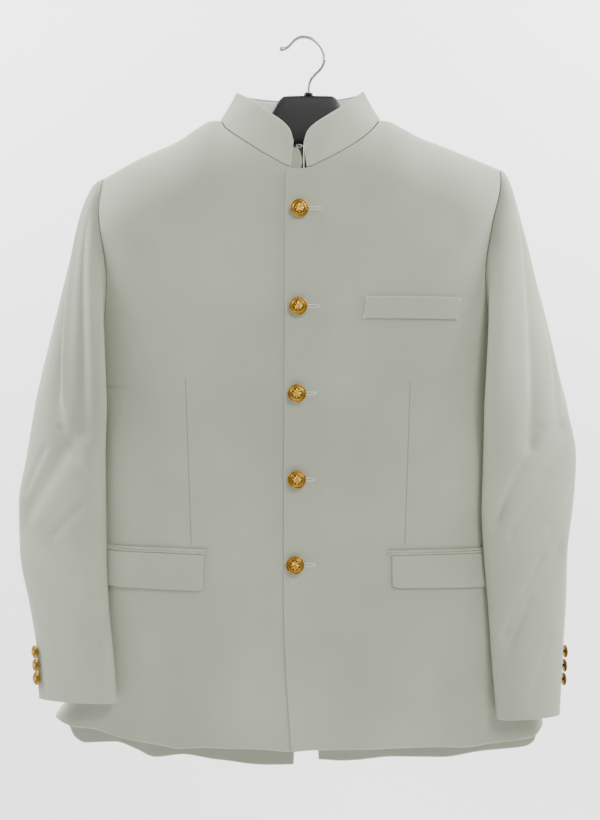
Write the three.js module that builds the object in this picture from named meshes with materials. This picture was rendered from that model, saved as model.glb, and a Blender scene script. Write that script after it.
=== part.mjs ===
// Bandhgala jacket hanging on a plastic hanger.
// Millimetres, +Z up. The front of the jacket looks along -Y, the wearer's left is +X.
// The origin is the inner top of the hook, where the hanger rests on its rail.
import * as THREE from "three";

// Cloth and seams
const CLOTH_WALL = 2;
const COLLAR_WALL = 2.4;
const LINING_WALL = 1;
const SEAM_GAP = 0.3;
const LAP_LIFT = CLOTH_WALL + 0.5;
const LAP_END = 18;
const LAP_EASE = 45;

// Body of the jacket, by height: half widths to each side, half depths, middle line, squareness
const CENTRE_X = -5;
const BODY = [
  { z: -870, left: 288, right: 285, front: 55, back: 56, mid: 36, square: 3.4 },
  { z: -790, left: 287, right: 284, front: 55, back: 56, mid: 34, square: 3.4 },
  { z: -760, left: 270, right: 270, front: 57, back: 58, mid: 32, square: 3.4 },
  { z: -700, left: 248, right: 248, front: 62, back: 62, mid: 27, square: 3.6 },
  { z: -640, left: 233, right: 231, front: 66, back: 66, mid: 22, square: 3.8 },
  { z: -560, left: 227, right: 224, front: 70, back: 68, mid: 18, square: 4 },
  { z: -450, left: 231, right: 227, front: 78, back: 74, mid: 14, square: 4 },
  { z: -404, left: 236, right: 232, front: 80, back: 76, mid: 12, square: 4 },
  { z: -300, left: 238, right: 229, front: 78, back: 76, mid: 9, square: 4 },
  { z: -220, left: 237, right: 229, front: 69, back: 70, mid: 5, square: 4 },
  { z: -156, left: 233, right: 238, front: 58, back: 58, mid: 1, square: 4 },
  { z: -100, left: 232, right: 238, front: 50, back: 50, mid: 0, square: 4 },
];

// Shoulder line and, between the neck points, the height that it would rise to
const SHOULDER = [
  { x: -250, z: -171 },
  { x: -229, z: -161 },
  { x: -190, z: -139.5 },
  { x: -143, z: -118 },
  { x: -120, z: -102.5 },
  { x: -107, z: -95.8 },
  { x: -96, z: -94.8 },
  { x: -60, z: -83 },
  { x: -5, z: -75 },
  { x: 50, z: -83 },
  { x: 88, z: -94.8 },
  { x: 97, z: -96.2 },
  { x: 110, z: -102.5 },
  { x: 133, z: -115 },
  { x: 156, z: -123.7 },
  { x: 202, z: -142 },
  { x: 224, z: -151 },
  { x: 250, z: -162 },
];
const SHOULDER_ROUND = 75;
const NECK_LEFT_X = -96;
const NECK_RIGHT_X = 87.5;

// Neck seam, front and back
const NECK_FRONT = [
  { x: -96, z: -96.4 },
  { x: -89, z: -109 },
  { x: -74, z: -121.8 },
  { x: -56.4, z: -134.5 },
  { x: -36.4, z: -147 },
  { x: -14.8, z: -157.2 },
  { x: 3, z: -158.2 },
  { x: 20.3, z: -151.3 },
  { x: 40.3, z: -140.6 },
  { x: 62, z: -125.9 },
  { x: 77, z: -111.8 },
  { x: 87.5, z: -96.4 },
];
const LAP_TOP = -159.4;
const UNDER_TOP = -160.4;
const NECK_BACK = [
  { x: -96, z: -96.4 },
  { x: -86, z: -103 },
  { x: -50, z: -109.5 },
  { x: -5, z: -112 },
  { x: 42, z: -109.5 },
  { x: 77.5, z: -103 },
  { x: 87.5, z: -96.4 },
];

// Front edges of the two fronts and the two edges of the back vent
const FRONT_EDGES = [
  { z: -870, lap: -14, under: 17, ventLeft: -13, ventRight: 19.5 },
  { z: -815, lap: -15, under: 17, ventLeft: -10, ventRight: 15 },
  { z: -770, lap: -18, under: 16, ventLeft: -6.5, ventRight: 10 },
  { z: -710, lap: -21.5, under: 14, ventLeft: -2.5, ventRight: 4.5 },
  { z: -640, lap: -23, under: 13, ventLeft: -0.15, ventRight: 0.15 },
  { z: -160, lap: -20.5, under: 13, ventLeft: -0.15, ventRight: 0.15 },
];

// Hem heights across the front and the back
const HEM_FRONT = [
  { x: -291, z: -783 },
  { x: -264, z: -790.8 },
  { x: -245, z: -791.5 },
  { x: -213, z: -800 },
  { x: -183, z: -806 },
  { x: -161, z: -809.5 },
  { x: -146, z: -813 },
  { x: -113, z: -811 },
  { x: -56, z: -812.5 },
  { x: -16, z: -815.5 },
  { x: 8, z: -813.5 },
  { x: 75, z: -812.6 },
  { x: 130, z: -811.2 },
  { x: 179, z: -812 },
  { x: 220, z: -807.3 },
  { x: 263, z: -804.3 },
  { x: 279, z: -793 },
];
const HEM_BACK = [
  { x: -291, z: -783 },
  { x: -281, z: -806 },
  { x: -275.8, z: -819 },
  { x: -263, z: -827.7 },
  { x: -229, z: -828.2 },
  { x: -205, z: -837 },
  { x: -181, z: -847 },
  { x: -150, z: -845 },
  { x: -103, z: -853.5 },
  { x: -43, z: -858.5 },
  { x: -12, z: -858 },
  { x: 20, z: -852 },
  { x: 44, z: -853.5 },
  { x: 105, z: -849.5 },
  { x: 163, z: -847.5 },
  { x: 217, z: -839.4 },
  { x: 264, z: -831 },
  { x: 275, z: -822 },
  { x: 279, z: -793 },
];

// Armhole: height of the underarm, and how far round the body the front and back edges lie
const UNDERARM = -404;
const ARMHOLE_REACH = 0.76;
const ARMHOLE_TOP_EASE = 0.14;
const ARMHOLE_TOP_TURN = 0.87;
const UNDERARM_ROW = 0.42;

// Soft folds of the fronts and backs: a line in x and z, how deep and how wide
const FRONT_FOLDS = [
  { x0: -176, z0: -470, x1: -150, z1: -800, depth: 3.5, width: 22 },
  { x0: -92, z0: -640, x1: -80, z1: -830, depth: -3, width: 24 },
  { x0: 150, z0: -640, x1: 158, z1: -830, depth: 3.5, width: 22 },
  { x0: 78, z0: -660, x1: 70, z1: -830, depth: -2.5, width: 26 },
  { x0: -190, z0: -240, x1: -120, z1: -350, depth: 2.5, width: 18 },
  { x0: 180, z0: -220, x1: 120, z1: -290, depth: 2, width: 16 },
];
const BACK_FOLDS = [
  { x0: -150, z0: -250, x1: -120, z1: -560, depth: 4, width: 24 },
  { x0: 140, z0: -260, x1: 112, z1: -580, depth: 4.5, width: 22 },
  { x0: -60, z0: -160, x1: 60, z1: -170, depth: 3, width: 12 },
  { x0: -200, z0: -640, x1: -172, z1: -860, depth: 5, width: 20 },
  { x0: -110, z0: -620, x1: -96, z1: -870, depth: -5, width: 24 },
  { x0: 96, z0: -640, x1: 104, z1: -870, depth: -4.5, width: 24 },
  { x0: 186, z0: -620, x1: 176, z1: -860, depth: 5.5, width: 20 },
];

// Sleeves, by height: front fold and back edge in plan, and bulge of the outer face
const SLEEVE_LEFT = [
  { z: -757, frontX: -210.8, frontY: -32, backX: -303.5, backY: -2, bulge: 18 },
  { z: -700, frontX: -214.9, frontY: -35, backX: -306.5, backY: 3, bulge: 20 },
  { z: -650, frontX: -219.9, frontY: -34, backX: -315.5, backY: 12, bulge: 23 },
  { z: -590, frontX: -222.6, frontY: -34, backX: -327.5, backY: 20, bulge: 25 },
  { z: -535, frontX: -222.6, frontY: -39, backX: -328.5, backY: 23, bulge: 26.4 },
  { z: -480, frontX: -221.8, frontY: -49, backX: -318.5, backY: 27, bulge: 26.4 },
  { z: -425, frontX: -218.2, frontY: -68, backX: -307.5, backY: 28, bulge: 26.4 },
];
const SLEEVE_RIGHT = [
  { z: -776, frontX: 217.7, frontY: -30, backX: 292.5, backY: 0, bulge: 18 },
  { z: -700, frontX: 211.1, frontY: -33, backX: 297, backY: 5, bulge: 20 },
  { z: -650, frontX: 207.4, frontY: -35, backX: 300.5, backY: 11, bulge: 23 },
  { z: -590, frontX: 201.8, frontY: -42, backX: 302, backY: 12, bulge: 25 },
  { z: -535, frontX: 198.3, frontY: -49, backX: 308.5, backY: 13, bulge: 26.4 },
  { z: -480, frontX: 199.2, frontY: -56, backX: 312.5, backY: 20, bulge: 26.4 },
  { z: -425, frontX: 198.7, frontY: -71, backX: 301.5, backY: 25, bulge: 26.4 },
];
const SLEEVE_INSIDE = 7.5;
const SLEEVE_SQUARE = 2.2;
const CAP_PART = 0.42;
const CAP_GAP = 0.5;
const CAP_LEAST = 0.12;
const CAP_OUT_LEFT = 0.26;
const CAP_OUT_RIGHT = 0.16;
const CAP_FORWARD = 0.2;
const UNDERARM_OUT = 0.75;
const BICEPS_STEP = 5;
const FRONT_SEAM_TURN = -38;
const BACK_SEAM_TURN = 168;

// Sleeve folds: heights and turns of a fold line, depth and width in millimetres
const SLEEVE_FOLDS_LEFT = [
  { turn0: 60, z0: -340, turn1: 40, z1: -450, depth: 4, width: 11 },
  { turn0: 110, z0: -345, turn1: 75, z1: -470, depth: 3.5, width: 12 },
  { turn0: 50, z0: -450, turn1: 120, z1: -540, depth: 4.5, width: 13 },
  { turn0: 130, z0: -560, turn1: 60, z1: -620, depth: 3, width: 14 },
];
const SLEEVE_FOLDS_RIGHT = [
  { turn0: 90, z0: -345, turn1: 70, z1: -460, depth: 4, width: 12 },
  { turn0: 120, z0: -450, turn1: 30, z1: -550, depth: 5, width: 13 },
  { turn0: 125, z0: -590, turn1: 45, z1: -680, depth: 4, width: 14 },
];

// Collar: how far along from the shoulder to the front end, and the point of its top edge there
const COLLAR_LEFT = [
  { part: 0, x: -77.7, y: -2, z: -62.7 },
  { part: 0.35, x: -55, y: -27, z: -79 },
  { part: 0.6, x: -38, y: -37, z: -93 },
  { part: 0.8, x: -25.2, y: -42, z: -102.5 },
  { part: 0.93, x: -15.8, y: -46, z: -113.5 },
  { part: 1, x: -11.8, y: -50.5, z: -127 },
];
const COLLAR_RIGHT = [
  { part: 0, x: 68.9, y: -2, z: -61.5 },
  { part: 0.35, x: 46, y: -28, z: -82 },
  { part: 0.6, x: 27, y: -38, z: -95.5 },
  { part: 0.8, x: 13.5, y: -43, z: -105 },
  { part: 0.93, x: 3.6, y: -47.5, z: -115.5 },
  { part: 1, x: -0.6, y: -52, z: -129 },
];
const COLLAR_BACK_Y = 33;
const COLLAR_BACK_Z = -65;
const COLLAR_BULGE = -1;
const COLLAR_RISE = 1.1;
const NECK_STEP = 0.02;
const COLLAR_FRONT_LEFT = -14.8;
const COLLAR_FRONT_RIGHT = 3.1;
const COLLAR_STEPS = 40;
const COLLAR_ROWS = 3;
const LINING_MARGIN = 3;
const LINING_GAP = 0.5;
const LINING_LOW = 0.25;
const LINING_HIGH = 0.8;

// Pockets on the fronts: corner heights, and how the welt leans over and stands off
const WELT = { leftX: 63.5, rightX: 168.6 };
const WELT_LOW = { left: -326.2, right: -327.4 };
const WELT_HIGH = { left: -301.8, right: -302.6 };
const WELT_LEAN = 4;
const WELT_STAND = 1.5;
const PATCH_WALL = 2;
const FLAPS = [
  { name: "left", side: 1, inX: 92, highIn: -583.7, highOut: -580, lowIn: -625.8, lowOut: -627 },
  { name: "right", side: -1, inX: -106.4, highIn: -582.7, highOut: -575, lowIn: -629.3, lowOut: -621 },
];
const FLAP_TURN = 0.9;
const FLAP_FROM = 0.02;
const FLAP_TO = 0.99;
const JET_HEIGHT = 5.5;
const FLAP_STAND = 1.6;
const POCKET_STEPS = 14;
const POCKET_GAP = 0.5;

// Buttons: domed metal with a shank; radius and height along the axis, for a radius of one
const BUTTON = [
  { r: 0.22, h: 0 },
  { r: 0.22, h: 0.2 },
  { r: 0.93, h: 0.24 },
  { r: 1, h: 0.34 },
  { r: 0.97, h: 0.44 },
  { r: 0.84, h: 0.47 },
  { r: 0.62, h: 0.6 },
  { r: 0.3, h: 0.69 },
];
const BUTTON_TOP = 0.72;
const BUTTON_STAND = 0.3;
const FRONT_BUTTON_R = 10.2;
const FRONT_BUTTONS = [
  { x: -5.2, z: -204.6 },
  { x: -6.5, z: -313.1 },
  { x: -7.9, z: -408.9 },
  { x: -8.1, z: -504.1 },
  { x: -10.2, z: -599.6 },
];
const CUFF_BUTTON_R = 7.5;
const FACE_STEP = 3;
const CUFF_BUTTONS = [
  { name: "left", side: 1, turn: 172, faceTurn: 172, heights: [-705, -721, -736.5] },
  { name: "right", side: -1, turn: 150, faceTurn: 144, heights: [-703.5, -718.5, -733.5] },
];

// Hanger: top (0 where it follows the shoulders), underside and thickness, from arm end to arm end
const ARM_GAP = 0.5;
const HANGER = [
  { x: -214, top: 0, low: -170, thick: 9 },
  { x: -206, top: 0, low: -172, thick: 11 },
  { x: -160, top: 0, low: -155, thick: 12 },
  { x: -100, top: -100.2, low: -129, thick: 12 },
  { x: -74, top: -95, low: -121, thick: 12 },
  { x: -48, top: -91, low: -119, thick: 12 },
  { x: -37.5, top: -86, low: -121, thick: 12 },
  { x: -33, top: -78, low: -121.5, thick: 12 },
  { x: -28, top: -70.5, low: -122, thick: 12 },
  { x: -22, top: -66.6, low: -122, thick: 12 },
  { x: 0, top: -66, low: -122, thick: 12 },
  { x: 31, top: -66.4, low: -122, thick: 12 },
  { x: 36.5, top: -69, low: -121.5, thick: 12 },
  { x: 41, top: -76, low: -121, thick: 12 },
  { x: 44, top: -86, low: -120, thick: 12 },
  { x: 55, top: -92, low: -119, thick: 12 },
  { x: 92, top: -101, low: -125, thick: 12 },
  { x: 150, top: 0, low: -148, thick: 12 },
  { x: 200, top: 0, low: -163, thick: 11 },
  { x: 209, top: 0, low: -161, thick: 9 },
];
const HANGER_SIDES = 12;
const HEAD_END = 50;
const HEAD_SQUARE = 4;
const ARM_SQUARE = 2.2;

// Hook wire: centre line and radius, from the boss to the ball tip
const HOOK = [
  { x: 5.1, z: -65.6, r: 5.2 },
  { x: 5.1, z: -63.4, r: 5.2 },
  { x: 5.1, z: -62.9, r: 4.6 },
  { x: 5.15, z: -62.8, r: 1.8 },
  { x: 5.3, z: -56, r: 1.8 },
  { x: 5.8, z: -52, r: 1.8 },
  { x: 8, z: -46.9, r: 1.8 },
  { x: 13.8, z: -40.3, r: 1.8 },
  { x: 18.4, z: -35.6, r: 1.8 },
  { x: 21.4, z: -30.6, r: 1.8 },
  { x: 23, z: -25, r: 1.8 },
  { x: 22.9, z: -19, r: 1.8 },
  { x: 20.7, z: -12.4, r: 1.8 },
  { x: 16.4, z: -6.2, r: 1.8 },
  { x: 11, z: -1.7, r: 1.8 },
  { x: 5.6, z: 0.9, r: 1.8 },
  { x: 0, z: 1.8, r: 1.8 },
  { x: -5.4, z: 1, r: 1.8 },
  { x: -10.4, z: -1.6, r: 1.8 },
  { x: -15, z: -6, r: 1.8 },
  { x: -19, z: -10.2, r: 1.8 },
  { x: -22.2, z: -11.7, r: 1.8 },
  { x: -24, z: -12, r: 2.3 },
  { x: -26, z: -12.1, r: 2.5 },
  { x: -27.6, z: -12.1, r: 2 },
  { x: -28.4, z: -12.1, r: 1 },
];
const HOOK_SIDES = 8;

// Hook and eye between the collar ends
const TAB = { leftX: -18, rightX: -3.4, lowY: -55.8, highY: -48, lowZ: -166, highZ: -134 };
const EYE = { x: -5.1, y: -48.9, z: -132.6, wide: 3, tall: 1.5, wire: 0.55, open: 0.5 };
const EYE_STEPS = 12;
const EYE_SIDES = 6;

// First guesses and rounds of the search for where the panels end
const FIRST_HEM = -800;
const FIRST_TOP = -120;
const FIRST_SHOULDER = -155;
const ROUNDS = 9;

// Share of the girth up to the neck point, from its distance to the centre
const NECK_SHARE_EXTRA = 18;
const NECK_SHARE_SPAN = 250;

// Where the straight top edges of the lap and of the front below it end
const LAP_TOP_X = 3;
const UNDER_TOP_X = -15;

// Parts of the girth over which the folds fade out towards the side and the centre
const SIDE_FADE = 0.22;
const CENTRE_FADE_START = 0.06;
const CENTRE_FADE = 0.12;
const FOLD_START = 0.25;
const FOLD_EASE = 3;

// Turns over which the sleeve folds fade out towards the seams
const FOLD_FROM = 2;
const FOLD_TO = 160;
const FOLD_FADE = 25;

// Half the gap between the two pieces of a sleeve, in degrees
const HALF_GAP = 0.25;

// Grid steps of the panels
const FRONT_GRID = { across: 15, up: 28, neck: 5 };
const BACK_GRID = { across: 13, up: 24, neck: 5 };
const TOPSLEEVE_GRID = { across: 12, up: 22 };
const UNDERSLEEVE_GRID = { across: 11, up: 22 };

const QUARTER = Math.PI / 2;
const DEGREE = Math.PI / 180;

// Slope of a table column at one row, without overshoot
function slopeAt(rows, key, column, i) {
  const before = i > 0 ? i - 1 : 0;
  const after = i < rows.length - 1 ? i + 1 : i;
  const rise = (a, b) => (rows[b][column] - rows[a][column]) / (rows[b][key] - rows[a][key]);
  if (before === i || after === i) {
    return rise(before, after);
  }
  const low = rise(before, i);
  const high = rise(i, after);
  return low * high <= 0 ? 0 : (2 * low * high) / (low + high);
}

// Smooth value of a table column at a place between its rows
function along(rows, key, column, at) {
  const last = rows.length - 1;
  if (at <= rows[0][key]) {
    return rows[0][column];
  }
  if (at >= rows[last][key]) {
    return rows[last][column];
  }
  let i = 0;
  while (rows[i + 1][key] < at) {
    i += 1;
  }
  const step = rows[i + 1][key] - rows[i][key];
  const f = (at - rows[i][key]) / step;
  const start = rows[i][column] * (1 + 2 * f) * (1 - f) * (1 - f);
  const end = rows[i + 1][column] * f * f * (3 - 2 * f);
  const lead = slopeAt(rows, key, column, i) * step * f * (1 - f) * (1 - f);
  const trail = slopeAt(rows, key, column, i + 1) * step * f * f * (f - 1);
  return start + end + lead + trail;
}

// Eases from 0 to 1
function ease(value) {
  const v = Math.min(Math.max(value, 0), 1);
  return v * v * (3 - 2 * v);
}

// Sideways and depth shares of the body section for a part of the girth, 0 centre to 1 side
function girth(part, square) {
  const turn = part * QUARTER;
  const across = Math.abs(Math.sin(turn));
  const deep = Math.abs(Math.cos(turn));
  const size = (across ** square + deep ** square) ** (1 / square);
  return { across: Math.sign(turn) * (across / size), deep: deep / size };
}

// Part of the girth at which the section has this sideways share
function girthPart(across, square) {
  const size = Math.min(Math.abs(across), 1);
  const deep = (1 - size ** square) ** (1 / square);
  return (Math.sign(across) * Math.atan2(size, deep)) / QUARTER;
}

function halfWidth(side, z, inset) {
  return along(BODY, "z", side < 0 ? "left" : "right", z) - inset;
}

// Share of depth that is left near the rounded shoulder line
function shoulderShare(x, z, inset) {
  const fall = (along(SHOULDER, "x", "z", x) - inset - z) / SHOULDER_ROUND;
  const w = Math.min(Math.max(fall, 0), 1);
  return Math.sqrt(w * (2 - w));
}

// Depth of the soft folds of a front or back at a place, faded out towards its seams
function foldDepth(face, part, x, z) {
  const folds = face < 0 ? FRONT_FOLDS : BACK_FOLDS;
  const fade = ease((1 - part) / SIDE_FADE) * ease((part - CENTRE_FADE_START) / CENTRE_FADE);
  let sum = 0;
  for (const fold of folds) {
    const dx = fold.x1 - fold.x0;
    const dz = fold.z1 - fold.z0;
    const run = ((x - fold.x0) * dx + (z - fold.z0) * dz) / (dx * dx + dz * dz);
    const on = Math.min(Math.max(run, 0), 1);
    const off = Math.hypot(x - fold.x0 - dx * on, z - fold.z0 - dz * on);
    const fall = Math.exp(-((off / fold.width) ** 2));
    sum += fold.depth * fall * ease(FOLD_START + on * FOLD_EASE);
  }
  return sum * fade;
}

// Extra distance of the lapping front from the body form
function lapLift(side, face, x) {
  if (side < 0 || face > 0) {
    return 0;
  }
  return LAP_LIFT * ease((LAP_END + LAP_EASE - x) / LAP_EASE);
}

// Point of the body form: side -1 or 1, face -1 front or 1 back, part of the girth, height
function bodyPoint(side, face, part, z, inset) {
  const square = along(BODY, "z", "square", z);
  const share = girth(part, square);
  const x = CENTRE_X + side * halfWidth(side, z, inset) * share.across;
  const depth = along(BODY, "z", face < 0 ? "front" : "back", z) - inset;
  const fold = foldDepth(face, part, x, z);
  const out = depth * shoulderShare(x, z, inset) * share.deep - fold;
  const y = along(BODY, "z", "mid", z) + face * (SEAM_GAP / 2 + out + lapLift(side, face, x));
  return new THREE.Vector3(x, y, z);
}

// Height of the armhole top, where the shoulder line meets the sleeve
function armholeTop(side, inset) {
  const topReach = ARMHOLE_REACH - ARMHOLE_TOP_EASE;
  const across = (1 - topReach ** 4) ** 0.25;
  let z = FIRST_SHOULDER;
  for (let i = 0; i < ROUNDS; i += 1) {
    const x = CENTRE_X + side * halfWidth(side, z, inset) * across;
    z = along(SHOULDER, "x", "z", x) - inset;
  }
  return z;
}

// Part of the girth at the armhole edge for a turn of 0 underarm to PI top
function armholePart(turn, square) {
  const lower = ARMHOLE_REACH * Math.sqrt(Math.max(Math.sin(turn), 0));
  const upper = ARMHOLE_REACH - ARMHOLE_TOP_EASE * ease((turn - QUARTER) / ARMHOLE_TOP_TURN);
  const deep = turn < QUARTER ? lower : upper;
  return girthPart((1 - deep ** square) ** (1 / square), square);
}

// Height and end of the girth for a row of a panel, 0 hem to 1 top
function rowPlace(side, row, hem, inset) {
  if (row <= UNDERARM_ROW) {
    return { z: hem + ((UNDERARM - hem) * row) / UNDERARM_ROW, end: 1 };
  }
  const turn = (Math.PI * (row - UNDERARM_ROW)) / (1 - UNDERARM_ROW);
  const half = (armholeTop(side, inset) - UNDERARM) / 2;
  const z = UNDERARM + half * (1 - Math.cos(turn));
  return { z, end: armholePart(turn, along(BODY, "z", "square", z)) };
}

// Centre edge of a panel at a height
function centreEdge(side, face, z) {
  if (face < 0) {
    return along(FRONT_EDGES, "z", side < 0 ? "under" : "lap", z);
  }
  return along(FRONT_EDGES, "z", side < 0 ? "ventLeft" : "ventRight", z);
}

function hemHeight(face, x) {
  return along(face < 0 ? HEM_FRONT : HEM_BACK, "x", "z", x);
}

// Top edge of a panel: neck seam, then shoulder line
function topHeight(side, face, x, inset) {
  const shoulder = along(SHOULDER, "x", "z", x) - inset;
  if (x <= NECK_LEFT_X || x >= NECK_RIGHT_X) {
    return shoulder;
  }
  if (face < 0 && side > 0 && x < LAP_TOP_X) {
    return LAP_TOP;
  }
  if (face < 0 && side < 0 && x > UNDER_TOP_X) {
    return UNDER_TOP;
  }
  return Math.min(along(face < 0 ? NECK_FRONT : NECK_BACK, "x", "z", x), shoulder);
}

// Part of the girth for a step across a panel, so that one step falls on the neck point
function partAcross(side, face, across, neck, z, end) {
  const square = along(BODY, "z", "square", z);
  const wide = halfWidth(side, z, 0);
  const start = girthPart((side * (centreEdge(side, face, z) - CENTRE_X)) / wide, square);
  const neckX = side < 0 ? NECK_LEFT_X : NECK_RIGHT_X;
  const neckShare = (Math.abs(neckX - CENTRE_X) + NECK_SHARE_EXTRA) / NECK_SHARE_SPAN;
  const beyond = neckShare + ((across - neck) / (1 - neck)) * (1 - neckShare);
  return start + (end - start) * (across <= neck ? (across / neck) * neckShare : beyond);
}

// Point of a front or back panel: across 0 centre edge to 1 side, row 0 hem to 1 top
function panelPoint(side, face, neck, across, row, inset) {
  const partAt = (z, end) => partAcross(side, face, across, neck, z, end);
  const xAt = (z, end) => bodyPoint(side, face, partAt(z, end), z, inset).x;
  let hem = FIRST_HEM;
  let top = FIRST_TOP;
  let sideHem = FIRST_HEM;
  const topEnd = rowPlace(side, 1, sideHem, inset).end;
  for (let i = 0; i < ROUNDS; i += 1) {
    hem = hemHeight(face, bodyPoint(side, face, partAt(hem, 1), hem, 0).x);
    top = topHeight(side, face, xAt(top, topEnd), inset);
    sideHem = hemHeight(face, bodyPoint(side, face, 1, sideHem, 0).x);
  }
  const place = rowPlace(side, row, sideHem, inset);
  const sideTop = rowPlace(side, 1, sideHem, inset).z;
  const z = hem + ((top - hem) * (place.z - sideHem)) / (sideTop - sideHem);
  return bodyPoint(side, face, partAt(z, place.end), z, inset);
}

// Outer point of the armhole loop, turn 0 front, 90 top, 180 back, 270 underarm
function armholePoint(side, turn) {
  const angle = turn * DEGREE;
  const rise = Math.acos(Math.min(Math.max(-Math.sin(angle), -1), 1));
  const face = Math.cos(angle) >= 0 ? -1 : 1;
  const half = (armholeTop(side, 0) - UNDERARM) / 2;
  const z = UNDERARM + half * (1 - Math.cos(rise));
  return bodyPoint(side, face, armholePart(rise, along(BODY, "z", "square", z)), z, 0);
}

// Point of the sleeve section at a height
function sleeveRing(side, z, turn, inset) {
  const rows = side < 0 ? SLEEVE_LEFT : SLEEVE_RIGHT;
  const front = new THREE.Vector2(along(rows, "z", "frontX", z), along(rows, "z", "frontY", z));
  const back = new THREE.Vector2(along(rows, "z", "backX", z), along(rows, "z", "backY", z));
  const long = front.distanceTo(back) / 2 - inset;
  const axis = front.clone().sub(back).normalize();
  const out = new THREE.Vector2(side * Math.abs(axis.y), -Math.abs(axis.x));
  const c = Math.cos(turn * DEGREE);
  const s = Math.sin(turn * DEGREE);
  const flat = (s > 0 ? along(rows, "z", "bulge", z) : SLEEVE_INSIDE) - inset;
  const size = (Math.abs(c) ** SLEEVE_SQUARE + Math.abs(s) ** SLEEVE_SQUARE) ** (1 / SLEEVE_SQUARE);
  const point = front.add(back).multiplyScalar(0.5);
  point.addScaledVector(axis, (long * c) / size);
  point.addScaledVector(out, (flat * s) / size);
  return new THREE.Vector3(point.x, point.y, z);
}

// Depth of the sleeve folds on the outer face
function sleeveFold(side, turn, z) {
  const folds = side < 0 ? SLEEVE_FOLDS_LEFT : SLEEVE_FOLDS_RIGHT;
  const fade = ease((turn - FOLD_FROM) / FOLD_FADE) * ease((FOLD_TO - turn) / FOLD_FADE);
  let sum = 0;
  for (const fold of folds) {
    const du = fold.turn1 - fold.turn0;
    const dz = fold.z1 - fold.z0;
    const run = ((turn - fold.turn0) * du + (z - fold.z0) * dz) / (du * du + dz * dz);
    const on = Math.min(Math.max(run, 0), 1);
    const off = Math.hypot(turn - fold.turn0 - du * on, z - fold.z0 - dz * on);
    sum += fold.depth * Math.exp(-((off / fold.width) ** 2));
  }
  return sum * fade;
}

// Point of a sleeve: turn round it, down 0 armhole to 1 cuff
function sleevePoint(side, turn, down, inset) {
  const rows = side < 0 ? SLEEVE_LEFT : SLEEVE_RIGHT;
  const cuff = rows[0].z;
  const biceps = rows[rows.length - 1].z;
  const c = Math.cos(turn * DEGREE);
  const s = Math.sin(turn * DEGREE);
  if (down >= CAP_PART) {
    const z = biceps + ((cuff - biceps) * (down - CAP_PART)) / (1 - CAP_PART);
    return sleeveRing(side, z, turn, inset + sleeveFold(side, turn, z));
  }
  const start = armholePoint(side, turn);
  start.add(new THREE.Vector3(side * CAP_GAP, c * (CAP_GAP + inset), -s * (CAP_GAP + inset)));
  const end = sleeveRing(side, biceps, turn, inset + sleeveFold(side, turn, biceps));
  const reach = start.distanceTo(end);
  const capOut = side < 0 ? CAP_OUT_LEFT : CAP_OUT_RIGHT;
  const out = CAP_LEAST + capOut * Math.max(0, s) + UNDERARM_OUT * Math.max(0, -s);
  const leave = new THREE.Vector3(side * out, -CAP_FORWARD * c, 0).multiplyScalar(reach);
  const next = biceps - BICEPS_STEP;
  const below = sleeveRing(side, next, turn, inset + sleeveFold(side, turn, next));
  const arrive = below.sub(end).normalize().multiplyScalar(reach);
  const f = down / CAP_PART;
  const point = start.multiplyScalar((1 + 2 * f) * (1 - f) * (1 - f));
  point.addScaledVector(end, f * f * (3 - 2 * f));
  point.addScaledVector(leave, f * (1 - f) * (1 - f));
  point.addScaledVector(arrive, f * f * (f - 1));
  return point;
}

// Neck seam point, turn -1 wearer's right front end, 0 centre back, 1 wearer's left front end
function neckPoint(turn) {
  const side = turn < 0 ? -1 : 1;
  const size = Math.abs(turn);
  const neckX = side < 0 ? NECK_LEFT_X : NECK_RIGHT_X;
  const frontX = side < 0 ? COLLAR_FRONT_LEFT : COLLAR_FRONT_RIGHT;
  const face = size < 0.5 ? 1 : -1;
  const angle = face > 0 ? size * 2 * QUARTER : (1 - size) * 2 * QUARTER;
  const middle = face > 0 ? CENTRE_X : frontX;
  const x = middle + (neckX - middle) * Math.sin(angle);
  const table = face > 0 ? NECK_BACK : NECK_FRONT;
  const z = Math.min(along(table, "x", "z", x), along(SHOULDER, "x", "z", x));
  const square = along(BODY, "z", "square", z);
  const part = girthPart((side * (x - CENTRE_X)) / halfWidth(side, z, 0), square);
  return bodyPoint(side, face, part, z, 0);
}

// Top edge of the collar
function collarTop(turn) {
  const side = turn < 0 ? -1 : 1;
  const size = Math.abs(turn);
  const rows = side < 0 ? COLLAR_LEFT : COLLAR_RIGHT;
  if (size >= 0.5) {
    const part = (size - 0.5) * 2;
    const at = (column) => along(rows, "part", column, part);
    return new THREE.Vector3(at("x"), at("y"), at("z"));
  }
  const angle = size * 2 * QUARTER;
  const x = CENTRE_X + (rows[0].x - CENTRE_X) * Math.sin(angle);
  const y = rows[0].y + (COLLAR_BACK_Y - rows[0].y) * Math.cos(angle);
  const z = rows[0].z + (COLLAR_BACK_Z - rows[0].z) * Math.cos(angle);
  return new THREE.Vector3(x, y, z);
}

// Point of the collar band, up 0 seam to 1 top edge, inset towards the neck
function collarPoint(turn, up, inset) {
  const base = neckPoint(turn);
  const top = collarTop(turn);
  const before = neckPoint(Math.max(turn - NECK_STEP, -1));
  const after = neckPoint(Math.min(turn + NECK_STEP, 1));
  const run = after.sub(before).setZ(0).normalize();
  const inward = new THREE.Vector3(run.y, -run.x, 0);
  base.addScaledVector(inward, SEAM_GAP);
  base.z += COLLAR_RISE;
  const point = base.lerp(top, up);
  return point.addScaledVector(inward, inset - COLLAR_BULGE * 4 * up * (1 - up));
}

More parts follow.
